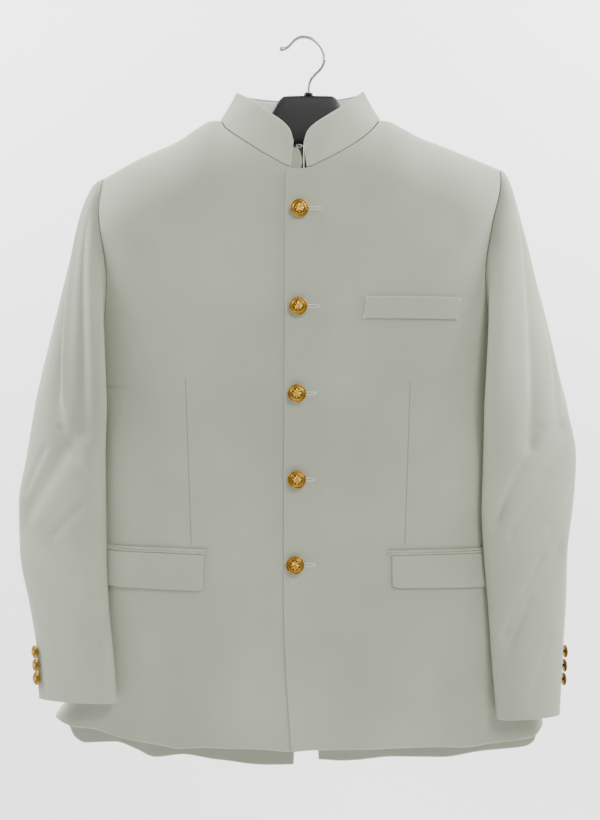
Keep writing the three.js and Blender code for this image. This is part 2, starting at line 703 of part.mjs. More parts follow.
// Adds a solid to the group, facing out
const part = new THREE.Group();
part.name = "bandhgala_jacket";
function addSolid(name, points, faces, look) {
  let volume = 0;
  for (const [a, b, c] of faces) {
    volume += points[a].dot(points[b].clone().cross(points[c]));
  }
  const index = [];
  for (const [a, b, c] of faces) {
    index.push(a, volume > 0 ? b : c, volume > 0 ? c : b);
  }
  const places = points.flatMap((p) => [p.x, p.y, p.z]);
  const geometry = new THREE.BufferGeometry();
  geometry.setAttribute("position", new THREE.Float32BufferAttribute(places, 3));
  geometry.setIndex(index);
  geometry.computeVertexNormals();
  const mesh = new THREE.Mesh(geometry, new THREE.MeshStandardMaterial(look));
  mesh.name = name;
  part.add(mesh);
}

// Closed wall between an outer and an inner surface, both over a grid
function addWall(name, across, up, outer, inner, look) {
  const points = [];
  const faces = [];
  const stride = up + 1;
  const offset = (across + 1) * stride;
  for (const surface of [outer, inner]) {
    for (let i = 0; i <= across; i += 1) {
      for (let j = 0; j <= up; j += 1) {
        points.push(surface(i / across, j / up));
      }
    }
  }
  const quad = (a, b, c, d) => faces.push([a, b, c], [a, c, d]);
  for (let i = 0; i < across; i += 1) {
    for (let j = 0; j < up; j += 1) {
      const a = i * stride + j;
      quad(a, a + stride, a + stride + 1, a + 1);
      quad(offset + a, offset + a + 1, offset + a + stride + 1, offset + a + stride);
    }
    const low = i * stride;
    const high = low + up;
    quad(low, offset + low, offset + low + stride, low + stride);
    quad(high, high + stride, offset + high + stride, offset + high);
  }
  for (let j = 0; j < up; j += 1) {
    const near = j;
    const far = across * stride + j;
    quad(near, near + 1, offset + near + 1, offset + near);
    quad(far, offset + far, offset + far + 1, far + 1);
  }
  addSolid(name, points, faces, look);
}

// Closed body through rings of points, with a point at each end
function addLoft(name, rings, startPoint, endPoint, look) {
  const sides = rings[0].length;
  const points = [startPoint, ...rings.flat(), endPoint];
  const last = points.length - 1;
  const faces = [];
  for (let k = 0; k < sides; k += 1) {
    const next = (k + 1) % sides;
    faces.push([0, 1 + next, 1 + k]);
    faces.push([last, last - sides + k, last - sides + next]);
    for (let i = 0; i < rings.length - 1; i += 1) {
      const a = 1 + i * sides;
      faces.push([a + k, a + next, a + sides + next], [a + k, a + sides + next, a + sides + k]);
    }
  }
  addSolid(name, points, faces, look);
}

const CLOTH_LOOK = { color: 0xa9afa1, roughness: 0.72, metalness: 0 };
const SATIN_LOOK = { color: 0xdfe4d6, roughness: 0.4, metalness: 0 };
const GOLD_LOOK = { color: 0xc99a3c, roughness: 0.3, metalness: 1 };
const PLASTIC_LOOK = { color: 0x17181b, roughness: 0.35, metalness: 0 };
const STEEL_LOOK = { color: 0xb9bcc0, roughness: 0.25, metalness: 1 };

// Fronts and backs
const PANELS = [
  { name: "front_right", side: -1, face: -1, grid: FRONT_GRID },
  { name: "front_left", side: 1, face: -1, grid: FRONT_GRID },
  { name: "back_right", side: -1, face: 1, grid: BACK_GRID },
  { name: "back_left", side: 1, face: 1, grid: BACK_GRID },
];
for (const { name, side, face, grid } of PANELS) {
  const neck = grid.neck / grid.across;
  const outer = (u, v) => panelPoint(side, face, neck, u, v, 0);
  const inner = (u, v) => panelPoint(side, face, neck, u, v, CLOTH_WALL);
  addWall(name, grid.across, grid.up, outer, inner, CLOTH_LOOK);
}

// Sleeves in two pieces, parted at the front seam and the back seam
const SLEEVES = [
  { name: "topsleeve", from: FRONT_SEAM_TURN, to: BACK_SEAM_TURN, grid: TOPSLEEVE_GRID },
  { name: "undersleeve", from: BACK_SEAM_TURN, to: FRONT_SEAM_TURN + 360, grid: UNDERSLEEVE_GRID },
];
for (const { name, from, to, grid } of SLEEVES) {
  for (const side of [-1, 1]) {
    const turnAt = (u) => from + HALF_GAP + (to - from - 2 * HALF_GAP) * u;
    const outer = (u, v) => sleevePoint(side, turnAt(u), v, 0);
    const inner = (u, v) => sleevePoint(side, turnAt(u), v, CLOTH_WALL);
    addWall(`${name}_${side < 0 ? "right" : "left"}`, grid.across, grid.up, outer, inner, CLOTH_LOOK);
  }
}

// Collar band, its lining, and the tab and metal eye behind its front opening
const bandTurn = (step) => -1 + (2 * step) / COLLAR_STEPS;
const bandWall = (u, v, inset) => collarPoint(bandTurn(u * COLLAR_STEPS), v, inset);
addWall(
  "collar",
  COLLAR_STEPS,
  COLLAR_ROWS,
  (u, v) => bandWall(u, v, 0),
  (u, v) => bandWall(u, v, COLLAR_WALL),
  CLOTH_LOOK,
);
const liningSteps = COLLAR_STEPS - 2 * LINING_MARGIN;
function liningPoint(u, v, inset) {
  const turn = bandTurn(LINING_MARGIN + u * liningSteps);
  if (v > 0 && v < 1) {
    return collarPoint(turn, v, inset);
  }
  const row = v === 0 ? 0 : COLLAR_ROWS - 1;
  const low = collarPoint(turn, row / COLLAR_ROWS, inset);
  return low.lerp(collarPoint(turn, (row + 1) / COLLAR_ROWS, inset), v === 0 ? LINING_LOW : LINING_HIGH);
}
addWall(
  "collar_lining",
  liningSteps,
  COLLAR_ROWS,
  (u, v) => liningPoint(u, v, COLLAR_WALL + LINING_GAP),
  (u, v) => liningPoint(u, v, COLLAR_WALL + LINING_GAP + LINING_WALL),
  SATIN_LOOK,
);
const tabPoint = (u, v, depth) => new THREE.Vector3(
  TAB.leftX + (TAB.rightX - TAB.leftX) * u,
  TAB.lowY + (TAB.highY - TAB.lowY) * v + depth,
  TAB.lowZ + (TAB.highZ - TAB.lowZ) * v,
);
addWall("collar_tab", 2, 2, (u, v) => tabPoint(u, v, 0), (u, v) => tabPoint(u, v, CLOTH_WALL), CLOTH_LOOK);
const eyeRings = [];
for (let i = 0; i < EYE_STEPS; i += 1) {
  const turn = (i / (EYE_STEPS - 1)) * (2 * Math.PI - EYE.open);
  const out = new THREE.Vector3(EYE.wide * Math.cos(turn), 0, EYE.tall * Math.sin(turn));
  const aside = new THREE.Vector3(Math.cos(turn), 0, Math.sin(turn));
  const ring = [];
  for (let k = 0; k < EYE_SIDES; k += 1) {
    const angle = (k / EYE_SIDES) * 2 * Math.PI;
    const point = new THREE.Vector3(EYE.x, EYE.y, EYE.z).add(out);
    point.addScaledVector(aside, EYE.wire * Math.cos(angle));
    point.y += EYE.wire * Math.sin(angle);
    ring.push(point);
  }
  eyeRings.push(ring);
}
const middleOf = (ring) => ring.reduce((sum, p) => sum.add(p), new THREE.Vector3()).divideScalar(ring.length);
const eyeEnds = [middleOf(eyeRings[0]), middleOf(eyeRings[EYE_STEPS - 1])];
addLoft("collar_hook", eyeRings, eyeEnds[0], eyeEnds[1], STEEL_LOOK);

// Point on the outside of a front at a sideways place and height, moved out by a distance
function onFront(side, x, z, out) {
  const square = along(BODY, "z", "square", z);
  const part = girthPart((side * (x - CENTRE_X)) / halfWidth(side, z, 0), square);
  return bodyPoint(side, -1, part, z, -out);
}

// Breast welt, its upper edge standing a little off the front
function weltPoint(u, v, out) {
  const low = WELT_LOW.left + (WELT_LOW.right - WELT_LOW.left) * u;
  const high = WELT_HIGH.left + (WELT_HIGH.right - WELT_HIGH.left) * u;
  const x = WELT.leftX + WELT_LEAN * v + (WELT.rightX - WELT.leftX) * u;
  const stand = WELT_STAND * v * v * Math.sin(Math.PI * u);
  return onFront(1, x, low + (high - low) * v, out + stand);
}
addWall(
  "chest_welt",
  8,
  3,
  (u, v) => weltPoint(u, v, SEAM_GAP + PATCH_WALL),
  (u, v) => weltPoint(u, v, SEAM_GAP),
  CLOTH_LOOK,
);

// Lower pockets: a narrow jet above and a flap hanging from it
for (const flap of FLAPS) {
  const { side } = flap;
  const place = (u, z, out) => {
    const square = along(BODY, "z", "square", z);
    const start = girthPart((side * (flap.inX - CENTRE_X)) / halfWidth(side, z, 0), square);
    return bodyPoint(side, -1, start + (FLAP_TURN - start) * u, z, -out);
  };
  const mix = (a, b, f) => a + (b - a) * f;
  const high = (u) => mix(flap.highIn, flap.highOut, u);
  const low = (u) => mix(flap.lowIn, flap.lowOut, u);
  const jet = (u, v, out) => place(u, high(u) - JET_HEIGHT * (1 - v), out);
  const hang = (u, v, out) => {
    const top = high(u) - JET_HEIGHT - SEAM_GAP;
    return place(mix(FLAP_FROM, FLAP_TO, u), mix(low(u), top, v), out + FLAP_STAND * (1 - v) * (1 - u * u));
  };
  for (const [name, rows, point] of [["pocket_jet", 1, jet], ["pocket_flap", 3, hang]]) {
    const outer = (u, v) => point(u, v, POCKET_GAP + PATCH_WALL);
    const inner = (u, v) => point(u, v, POCKET_GAP);
    addWall(`${name}_${flap.name}`, POCKET_STEPS, rows, outer, inner, CLOTH_LOOK);
  }
}

// Button turned about its axis, standing on a point
function addButton(name, base, axis, radius, sides) {
  const across = new THREE.Vector3(0, 0, 1).cross(axis).normalize();
  const up = axis.clone().cross(across);
  const rings = BUTTON.map((row) => {
    const ring = [];
    for (let k = 0; k < sides; k += 1) {
      const angle = (k / sides) * 2 * Math.PI;
      const point = base.clone().addScaledVector(axis, row.h * radius);
      point.addScaledVector(across, row.r * radius * Math.cos(angle));
      ring.push(point.addScaledVector(up, row.r * radius * Math.sin(angle)));
    }
    return ring;
  });
  addLoft(name, rings, base.clone(), base.clone().addScaledVector(axis, BUTTON_TOP * radius), GOLD_LOOK);
}
FRONT_BUTTONS.forEach(({ x, z }, i) => {
  const base = onFront(1, x, z, SEAM_GAP + BUTTON_STAND);
  addButton(`front_button_${i + 1}`, base, new THREE.Vector3(0, -1, 0), FRONT_BUTTON_R, 16);
});
for (const { name, side, turn, faceTurn, heights } of CUFF_BUTTONS) {
  const rows = side < 0 ? SLEEVE_LEFT : SLEEVE_RIGHT;
  const cuff = rows[0].z;
  const biceps = rows[rows.length - 1].z;
  heights.forEach((z, i) => {
    const down = CAP_PART + ((1 - CAP_PART) * (z - biceps)) / (cuff - biceps);
    const spot = sleevePoint(side, turn, down, 0);
    const ahead = sleevePoint(side, faceTurn + FACE_STEP, down, 0);
    const run = ahead.sub(sleevePoint(side, faceTurn - FACE_STEP, down, 0));
    const axis = new THREE.Vector3(run.y, -run.x, 0).normalize();
    axis.multiplyScalar(Math.sign(axis.x * side));
    const base = spot.addScaledVector(axis, SEAM_GAP + BUTTON_STAND);
    addButton(`cuff_button_${name}_${i + 1}`, base, axis, CUFF_BUTTON_R, 12);
  });
}

// Hanger: one lofted body from arm end to arm end
const hangerRings = HANGER.map((row) => {
  const ridge = along(SHOULDER, "x", "z", row.x) - CLOTH_WALL - ARM_GAP;
  const top = row.top === 0 ? ridge : row.top;
  const square = Math.abs(row.x) < HEAD_END ? HEAD_SQUARE : ARM_SQUARE;
  const ring = [];
  for (let k = 0; k < HANGER_SIDES; k += 1) {
    const angle = (k / HANGER_SIDES) * 2 * Math.PI;
    const c = Math.cos(angle);
    const s = Math.sin(angle);
    const size = (Math.abs(c) ** square + Math.abs(s) ** square) ** (1 / square);
    const y = ((row.thick / 2) * c) / size;
    const z = (top + row.low) / 2 + (((top - row.low) / 2) * s) / size;
    ring.push(new THREE.Vector3(row.x, y, z));
  }
  return ring;
});
const hangerEnd = hangerRings.length - 1;
addLoft("hanger", hangerRings, middleOf(hangerRings[0]), middleOf(hangerRings[hangerEnd]), PLASTIC_LOOK);

// Hook: wire swept along its centre line, wider at the boss and the tip
const hookRings = HOOK.map((row, i) => {
  const before = HOOK[Math.max(i - 1, 0)];
  const after = HOOK[Math.min(i + 1, HOOK.length - 1)];
  const run = new THREE.Vector3(after.x - before.x, 0, after.z - before.z).normalize();
  const aside = new THREE.Vector3(run.z, 0, -run.x);
  const ring = [];
  for (let k = 0; k < HOOK_SIDES; k += 1) {
    const angle = (k / HOOK_SIDES) * 2 * Math.PI;
    const point = new THREE.Vector3(row.x, 0, row.z).addScaledVector(aside, row.r * Math.cos(angle));
    point.y += row.r * Math.sin(angle);
    ring.push(point);
  }
  return ring;
});
const hookEnd = hookRings.length - 1;
addLoft("hanger_hook", hookRings, middleOf(hookRings[0]), middleOf(hookRings[hookEnd]), STEEL_LOOK);

export default part;
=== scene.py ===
import math

import bpy
import numpy as np
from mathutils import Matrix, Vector


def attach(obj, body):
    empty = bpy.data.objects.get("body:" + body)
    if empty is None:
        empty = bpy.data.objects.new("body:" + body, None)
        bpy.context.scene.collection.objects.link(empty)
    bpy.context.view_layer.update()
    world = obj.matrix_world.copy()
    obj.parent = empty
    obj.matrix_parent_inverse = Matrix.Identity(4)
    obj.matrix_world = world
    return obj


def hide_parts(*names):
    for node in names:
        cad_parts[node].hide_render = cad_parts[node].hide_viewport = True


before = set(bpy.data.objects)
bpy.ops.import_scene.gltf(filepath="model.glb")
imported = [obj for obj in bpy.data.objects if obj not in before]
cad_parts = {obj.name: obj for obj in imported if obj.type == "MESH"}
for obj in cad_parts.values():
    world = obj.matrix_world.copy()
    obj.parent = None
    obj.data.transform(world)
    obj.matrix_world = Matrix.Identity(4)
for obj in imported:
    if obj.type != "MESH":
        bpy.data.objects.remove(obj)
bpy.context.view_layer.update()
MM = 0.001

# Fronts and backs. Four panels of worsted suiting, cut flat and seamed at the shoulders, sides and
# centre back. The wearer's left front laps over the right one, and the centre seam ends in a vent.
# They hang from the hanger's arms, so the cloth is rounded over the shoulders and falls straight.
CLOTH_WALL = 2.0
SEAM_GAP = 0.3
LAP_LIFT = 2.5
LAP_END = 18.0
LAP_EASE = 45.0
CENTRE_X = -5.0
SHOULDER_ROUND = 75.0
NECK_LEFT_X = -96.0
NECK_RIGHT_X = 87.5
LAP_TOP = -159.4
LAP_TOP_EDGE = -20.5
LAP_CORNER = 4.0
LAP_TOP_END = 3.0
UNDER_TOP = -160.4
UNDER_TOP_START = -15.0
NECK_EXTRA = 18.0
HALF_GIRTH = 250.0
PANEL_HEIGHT = 680
EDGE_STEPS = (0, 0.25, 0.7, 1.5, 3.0)
LEAST_ROLL = 0.02
HEM_GUESS = -810.0
TOP_GUESS = -120.0
SIDE_HEM_GUESS = -790.0
ARMHOLE_TOP_GUESS = -155.0
PLACE_ROUNDS = 9
ARMHOLE_ROUNDS = 8
UNDERARM = -404.0
ARMHOLE_REACH = 0.76
ARMHOLE_TOP_EASE = 0.14
ARMHOLE_TOP_TURN = 0.87
UNDERARM_ROW = 0.42
UNDERARM_STEP = 0.035
LEVEL_ROWS = 0.3
LEVEL_FROM = 0.15
ROW_CLEAR = 0.002
FOLD_BEGIN = 0.25
FOLD_GROW = 3
SIDE_FADE = 0.22
EDGE_FLAT = 0.06
EDGE_FADE = 0.12
QUARTER = math.pi / 2


def table(columns, rows):
    return dict(zip(columns.split(), np.array(rows, float).T))


BODY = table("z left right front back mid square", [
    (-870, 288, 285, 55, 56, 36, 3.4),
    (-790, 287, 284, 55, 56, 34, 3.4),
    (-760, 270, 270, 57, 58, 32, 3.4),
    (-700, 248, 248, 62, 62, 27, 3.6),
    (-640, 233, 231, 66, 66, 22, 3.8),
    (-560, 227, 224, 70, 68, 18, 4),
    (-450, 231, 227, 78, 74, 14, 4),
    (-404, 236, 232, 80, 76, 12, 4),
    (-300, 238, 229, 78, 76, 9, 4),
    (-220, 237, 229, 69, 70, 5, 4),
    (-156, 233, 238, 58, 58, 1, 4),
    (-100, 232, 238, 50, 50, 0, 4),
])
SHOULDER = table("x z", [
    (-250, -171), (-229, -161), (-190, -139.5), (-143, -118), (-120, -102.5), (-107, -95.8),
    (-96, -94.8), (-60, -83), (-5, -75), (50, -83), (88, -94.8), (97, -96.2), (110, -102.5),
    (133, -115), (156, -123.7), (202, -142), (224, -151), (250, -162),
])
NECK_FRONT = table("x z", [
    (-96, -96.4), (-89, -109), (-74, -121.8), (-56.4, -134.5), (-36.4, -147), (-14.8, -157.2),
    (3, -158.2), (20.3, -151.3), (40.3, -140.6), (62, -125.9), (77, -111.8), (87.5, -96.4),
])
NECK_BACK = table("x z", [
    (-96, -96.4), (-86, -103), (-50, -109.5), (-5, -112), (42, -109.5), (77.5, -103), (87.5, -96.4),
])
FRONT_EDGES = table("z lap under vent_left vent_right", [
    (-870, -14, 17, -13, 19.5),
    (-815, -15, 17, -10, 15),
    (-770, -18, 16, -6.5, 10),
    (-710, -21.5, 14, -2.5, 4.5),
    (-640, -23, 13, -0.15, 0.15),
    (-160, -20.5, 13, -0.15, 0.15),
])
HEM_FRONT = table("x z", [
    (-291, -783), (-264, -790.8), (-245, -791.5), (-213, -800), (-183, -806), (-161, -809.5),
    (-146, -813), (-113, -811), (-56, -812.5), (-16, -815.5), (8, -813.5), (75, -812.6), (130, -811.2),
    (179, -812), (220, -807.3), (263, -804.3), (279, -793),
])
HEM_BACK = table("x z", [
    (-291, -783), (-281, -806), (-275.8, -819), (-263, -827.7), (-229, -828.2), (-205, -837),
    (-181, -847), (-150, -845), (-103, -853.5), (-43, -858.5), (-12, -858), (20, -852), (44, -853.5),
    (105, -849.5), (163, -847.5), (217, -839.4), (264, -831), (275, -822), (279, -793),
])
FRONT_FOLDS = table("x0 z0 x1 z1 depth width", [
    (-176, -470, -150, -800, 3.5, 22),
    (-92, -640, -80, -830, -3, 24),
    (150, -640, 158, -830, 3.5, 22),
    (78, -660, 70, -830, -2.5, 26),
    (-190, -240, -120, -350, 2.5, 18),
    (180, -220, 120, -290, 2, 16),
    (-205, -300, -176, -380, 1.2, 7),
    (192, -290, 168, -372, 1.0, 7),
    (-40, -620, -34, -800, 0.9, 9),
    (-128, -575, -136, -690, 0.8, 8),
    (112, -578, 122, -720, 0.9, 9),
])
BACK_FOLDS = table("x0 z0 x1 z1 depth width", [
    (-150, -250, -120, -560, 4, 24),
    (140, -260, 112, -580, 4.5, 22),
    (-60, -160, 60, -170, 3, 12),
    (-200, -640, -172, -860, 5, 20),
    (-110, -620, -96, -870, -5, 24),
    (96, -640, 104, -870, -4.5, 24),
    (186, -620, 176, -860, 5.5, 20),
    (-84, -150, 70, -142, 1.4, 6),
    (-196, -380, -120, -430, 1.6, 8),
    (190, -372, 126, -436, 1.8, 9),
])


def along(rows, key, column, at):
    """Smooth value of one column of a table at places between its rows."""
    x, y = rows[key], rows[column]
    rise = np.diff(y) / np.diff(x)
    low, high = rise[:-1], rise[1:]
    total = np.where(low * high > 0, low + high, 1)
    slope = np.concatenate([rise[:1], np.where(low * high > 0, 2 * low * high / total, 0), rise[-1:]])
    at = np.clip(at, x[0], x[-1])
    i = np.clip(np.searchsorted(x, at, side="right") - 1, 0, len(x) - 2)
    step = x[i + 1] - x[i]
    f = (at - x[i]) / step
    ends = y[i] * (1 + 2 * f) * (1 - f) ** 2 + y[i + 1] * f * f * (3 - 2 * f)
    return ends + step * f * (1 - f) * (slope[i] * (1 - f) - slope[i + 1] * f)


def ease(value):
    v = np.clip(value, 0, 1)
    return v * v * (3 - 2 * v)


def girth_part(across, square):
    """Part of the way round from centre (0) to side (1) at which the body is this wide."""
    size = np.minimum(np.abs(across), 1)
    deep = (1 - size ** square) ** (1 / square)
    return np.sign(across) * np.arctan2(size, deep) / QUARTER


def half_width(side, z, inset):
    return along(BODY, "z", "left" if side < 0 else "right", z) - inset


def line_folds(folds, x, z, begin):
    """Depth of soft troughs (and, where negative, ridges) along short lines, from a part of it on."""
    total = np.zeros(np.broadcast(x, z).shape)
    for x0, z0, x1, z1, depth, width in zip(*folds.values()):
        dx, dz = x1 - x0, z1 - z0
        on = np.clip(((x - x0) * dx + (z - z0) * dz) / (dx * dx + dz * dz), 0, 1)
        off = np.hypot(x - x0 - dx * on, z - z0 - dz * on)
        total = total + depth * np.exp(-((off / width) ** 2)) * ease(begin + on * FOLD_GROW)
    return total


def lap_lift(side, face, x):
    """How far the left front stands off where it lies over the right one."""
    if side < 0 or face > 0:
        return 0.0
    return LAP_LIFT * ease((LAP_END + LAP_EASE - x) / LAP_EASE)


def body_point(side, face, part, z, inset):
    """Points of the body: side -1 or 1, face -1 front or 1 back, part of the girth, height."""
    square = along(BODY, "z", "square", z)
    turn = part * QUARTER
    across, deep = np.abs(np.sin(turn)), np.abs(np.cos(turn))
    size = (across ** square + deep ** square) ** (1 / square)
    x = CENTRE_X + side * half_width(side, z, inset) * np.sign(turn) * across / size
    fall = np.clip((along(SHOULDER, "x", "z", x) - inset - z) / SHOULDER_ROUND, 0, 1)
    depth = (along(BODY, "z", "front" if face < 0 else "back", z) - inset) * np.sqrt(fall * (2 - fall))
    fade = ease((1 - part) / SIDE_FADE) * ease((part - EDGE_FLAT) / EDGE_FADE)
    fold = line_folds(FRONT_FOLDS if face < 0 else BACK_FOLDS, x, z, FOLD_BEGIN) * fade
    out = SEAM_GAP / 2 + depth * deep / size - fold + lap_lift(side, face, x)
    y = along(BODY, "z", "mid", z) + face * out
    return np.stack(np.broadcast_arrays(x, y, z), -1)


def armhole_top(side, inset):
    """Height at which the armhole meets the shoulder seam, found in a few rounds."""
    across = (1 - (ARMHOLE_REACH - ARMHOLE_TOP_EASE) ** 4) ** 0.25
    z = ARMHOLE_TOP_GUESS
    for _ in range(ARMHOLE_ROUNDS):
        z = along(SHOULDER, "x", "z", CENTRE_X + side * half_width(side, z, inset) * across) - inset
    return z


def armhole_part(turn, square):
    """How far round the body the armhole's edge lies, from its bottom (0) to its top (pi)."""
    upper = ARMHOLE_REACH - ARMHOLE_TOP_EASE * ease((turn - QUARTER) / ARMHOLE_TOP_TURN)
    lower = ARMHOLE_REACH * np.sqrt(np.maximum(np.sin(turn), 0))
    deep = np.where(turn < QUARTER, lower, upper)
    return girth_part((1 - np.abs(deep) ** square) ** (1 / square), square)


def row_place(side, row, hem, inset):
    """Height of a row of a side or armhole edge, and how far round the body that edge lies."""
    turn = math.pi * np.clip((row - UNDERARM_ROW) / (1 - UNDERARM_ROW), 0, 1)
    half = (armhole_top(side, inset) - UNDERARM) / 2
    low = hem + (UNDERARM - hem) * row / UNDERARM_ROW
    z = np.where(row <= UNDERARM_ROW, low, UNDERARM + half * (1 - np.cos(turn)))
    end = np.where(row <= UNDERARM_ROW, 1, armhole_part(turn, along(BODY, "z", "square", z)))
    return z, end


def top_height(side, face, x, inset):
    """Height of a panel's top edge: shoulder seam, neck seam or top of the lap."""
    shoulder = along(SHOULDER, "x", "z", x) - inset
    neck = np.minimum(along(NECK_FRONT if face < 0 else NECK_BACK, "x", "z", x), shoulder)
    if face < 0 and side > 0:
        over = np.clip(1 - (x - LAP_TOP_EDGE) / LAP_CORNER, 0, 1)
        neck = np.where(x < LAP_TOP_END, LAP_TOP - LAP_CORNER * (1 - np.sqrt(1 - over * over)), neck)
    if face < 0 and side < 0:
        neck = np.where(x > UNDER_TOP_START, UNDER_TOP, neck)
    return np.where((x <= NECK_LEFT_X) | (x >= NECK_RIGHT_X), shoulder, neck)


def panel_point(side, face, neck, across, row, inset):
    """Points of a panel: across 0 centre edge to 1 side, row 0 hem to 1 top."""
    edge = {(-1, -1): "under", (1, -1): "lap", (-1, 1): "vent_left", (1, 1): "vent_right"}[side, face]

    def part_at(z, end):
        square = along(BODY, "z", "square", z)
        start = along(FRONT_EDGES, "z", edge, z) - CENTRE_X
        start = girth_part(side * start / half_width(side, z, 0), square)
        neck_x = NECK_LEFT_X if side < 0 else NECK_RIGHT_X
        share = (abs(neck_x - CENTRE_X) + NECK_EXTRA) / HALF_GIRTH
        warp = np.where(
            across <= neck,
            across / neck * share,
            share + (across - neck) / (1 - neck) * (1 - share),
        )
        return start + (end - start) * warp

    hem = np.full(across.shape, HEM_GUESS)
    top = np.full(across.shape, TOP_GUESS)
    side_hem = np.full(across.shape, SIDE_HEM_GUESS)
    one = np.ones(across.shape)
    top_end = row_place(side, one, side_hem, inset)[1]
    table_hem = HEM_FRONT if face < 0 else HEM_BACK
    for _ in range(PLACE_ROUNDS):
        hem = along(table_hem, "x", "z", body_point(side, face, part_at(hem, 1.0), hem, 0)[..., 0])
        top = top_height(side, face, body_point(side, face, part_at(top, top_end), top, inset)[..., 0], inset)
        side_hem = along(table_hem, "x", "z", body_point(side, face, one, side_hem, 0)[..., 0])
    z, end = row_place(side, row, side_hem, inset)
    side_top = row_place(side, one, side_hem, inset)[0]
    height = hem + (top - hem) * (z - side_hem) / (side_top - side_hem)
    level = ease(1 - np.abs(row - UNDERARM_ROW) / LEVEL_ROWS) * ease((across - LEVEL_FROM) / LEVEL_FROM)
    height = height + (z - height) * level
    above = np.clip((row - UNDERARM_ROW) / (1 - UNDERARM_ROW), 0, 1)
    gentle = 1 + (top_end - 1) * ease(above)
    return body_point(side, face, part_at(height, gentle + (end - gentle) * across), height, inset)


def edge_steps(count, length):
    """Steps from 0 to 1 with extra ones close to each end, for a rounded edge."""
    near = np.array(EDGE_STEPS) / length
    middle = np.linspace(near[-1], 1 - near[-1], count)[1:-1]
    return np.concatenate([near, middle, 1 - near[::-1]])


def link(name, data):
    """A new object of this data, linked to the scene."""
    item = bpy.data.objects.new(name, data)
    bpy.context.scene.collection.objects.link(item)
    return item


def add_mesh(name, points, faces, uv, finish, marks=None):
    """New piece from points in millimetres, with its UV in metres and marks for its material."""
    mesh = bpy.data.meshes.new(name)
    mesh.from_pydata(points * MM, [], faces)
    mesh.update()
    layer = mesh.uv_layers.new(name="UVMap")
    loops = np.zeros(len(mesh.loops), np.int32)
    mesh.loops.foreach_get("vertex_index", loops)
    layer.data.foreach_set("uv", (uv[loops] * MM).astype(np.float32).ravel())
    for mark, values in (marks or {}).items():
        mesh.attributes.new(mark, "FLOAT", "POINT").data.foreach_set("value", values.astype(np.float32))
    mesh.shade_smooth()
    mesh.materials.append(finish)
    piece = link(name, mesh)
    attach(piece, "root")
    return piece


def cloth_wall(name, surface, steps, size, wall, finish, marks=None, round_edge=1.0, rows=None):
    """Thin closed wall: surface(u, v, inset) and size in millimetres, its rim rounded over."""
    across = edge_steps(steps[0], size[0])
    rows = edge_steps(steps[1], size[1]) if rows is None else rows
    u, v = np.meshgrid(across, rows, indexing="ij")
    near = np.minimum(np.minimum(u, 1 - u) * size[0], np.minimum(v, 1 - v) * size[1])
    edge = 1 - np.clip(near / (round_edge * wall / 2), 0, 1)
    roll = np.sqrt(np.clip(1 - edge ** 2, LEAST_ROLL, 1))
    outer = surface(u, v, wall / 2 * (1 - roll))
    inner = surface(u, v, wall / 2 * (1 + roll))
    nu, nv = u.shape
    step_u = np.linalg.norm(np.diff(outer, axis=0), axis=-1)
    step_v = np.linalg.norm(np.diff(outer, axis=1), axis=-1)
    along_u = np.concatenate([np.zeros((1, nv)), np.cumsum(step_u, 0)])
    along_v = np.concatenate([np.zeros((nu, 1)), np.cumsum(step_v, 1)], 1)
    number = np.arange(nu * nv).reshape(nu, nv)
    far = number + nu * nv
    a, b, c, d = number[:-1, :-1], number[1:, :-1], number[1:, 1:], number[:-1, 1:]
    fronts = np.stack([a, b, c, d], -1).reshape(-1, 4)
    backs = np.stack([a, d, c, b], -1).reshape(-1, 4) + nu * nv
    rims = [
        np.stack([number[1:, 0], number[:-1, 0], far[:-1, 0], far[1:, 0]], -1),
        np.stack([number[:-1, -1], number[1:, -1], far[1:, -1], far[:-1, -1]], -1),
        np.stack([number[0, :-1], number[0, 1:], far[0, 1:], far[0, :-1]], -1),
        np.stack([number[-1, 1:], number[-1, :-1], far[-1, :-1], far[-1, 1:]], -1),
    ]
    faces = np.concatenate([fronts, backs, *rims])
    points = np.concatenate([outer.reshape(-1, 3), inner.reshape(-1, 3)])
    first, second, third = (points[faces[:, k]] for k in (0, 1, 2))
    volume = np.einsum("ij,ij->i", first, np.cross(second, third)).sum()
    if volume < 0:
        faces = faces[:, ::-1]
    uv = np.tile(np.stack([along_u, along_v], -1).reshape(-1, 2), (2, 1))
    held = {"rim": np.tile(near.ravel(), 2)}
    for mark, field in (marks or {}).items():
        held[mark] = np.tile(field(outer).ravel(), 2)
    return add_mesh(name, points, faces.tolist(), uv, finish, held)


def panel_rows(count):
    """Rows of a panel, with one step over the flat bottom of the armhole."""
    rows = edge_steps(count, PANEL_HEIGHT)
    low = rows[rows < UNDERARM_ROW - ROW_CLEAR]
    high = rows[rows > UNDERARM_ROW + UNDERARM_STEP + ROW_CLEAR]
    return np.concatenate([low, [UNDERARM_ROW, UNDERARM_ROW + UNDERARM_STEP], high])


def dress(node):
    """Hide the solid of this node, which the new piece stands in for."""
    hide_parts(node)


def dress_sheet(node):
    """The same for a piece of cloth: hide the solid of this node."""
    dress(node)


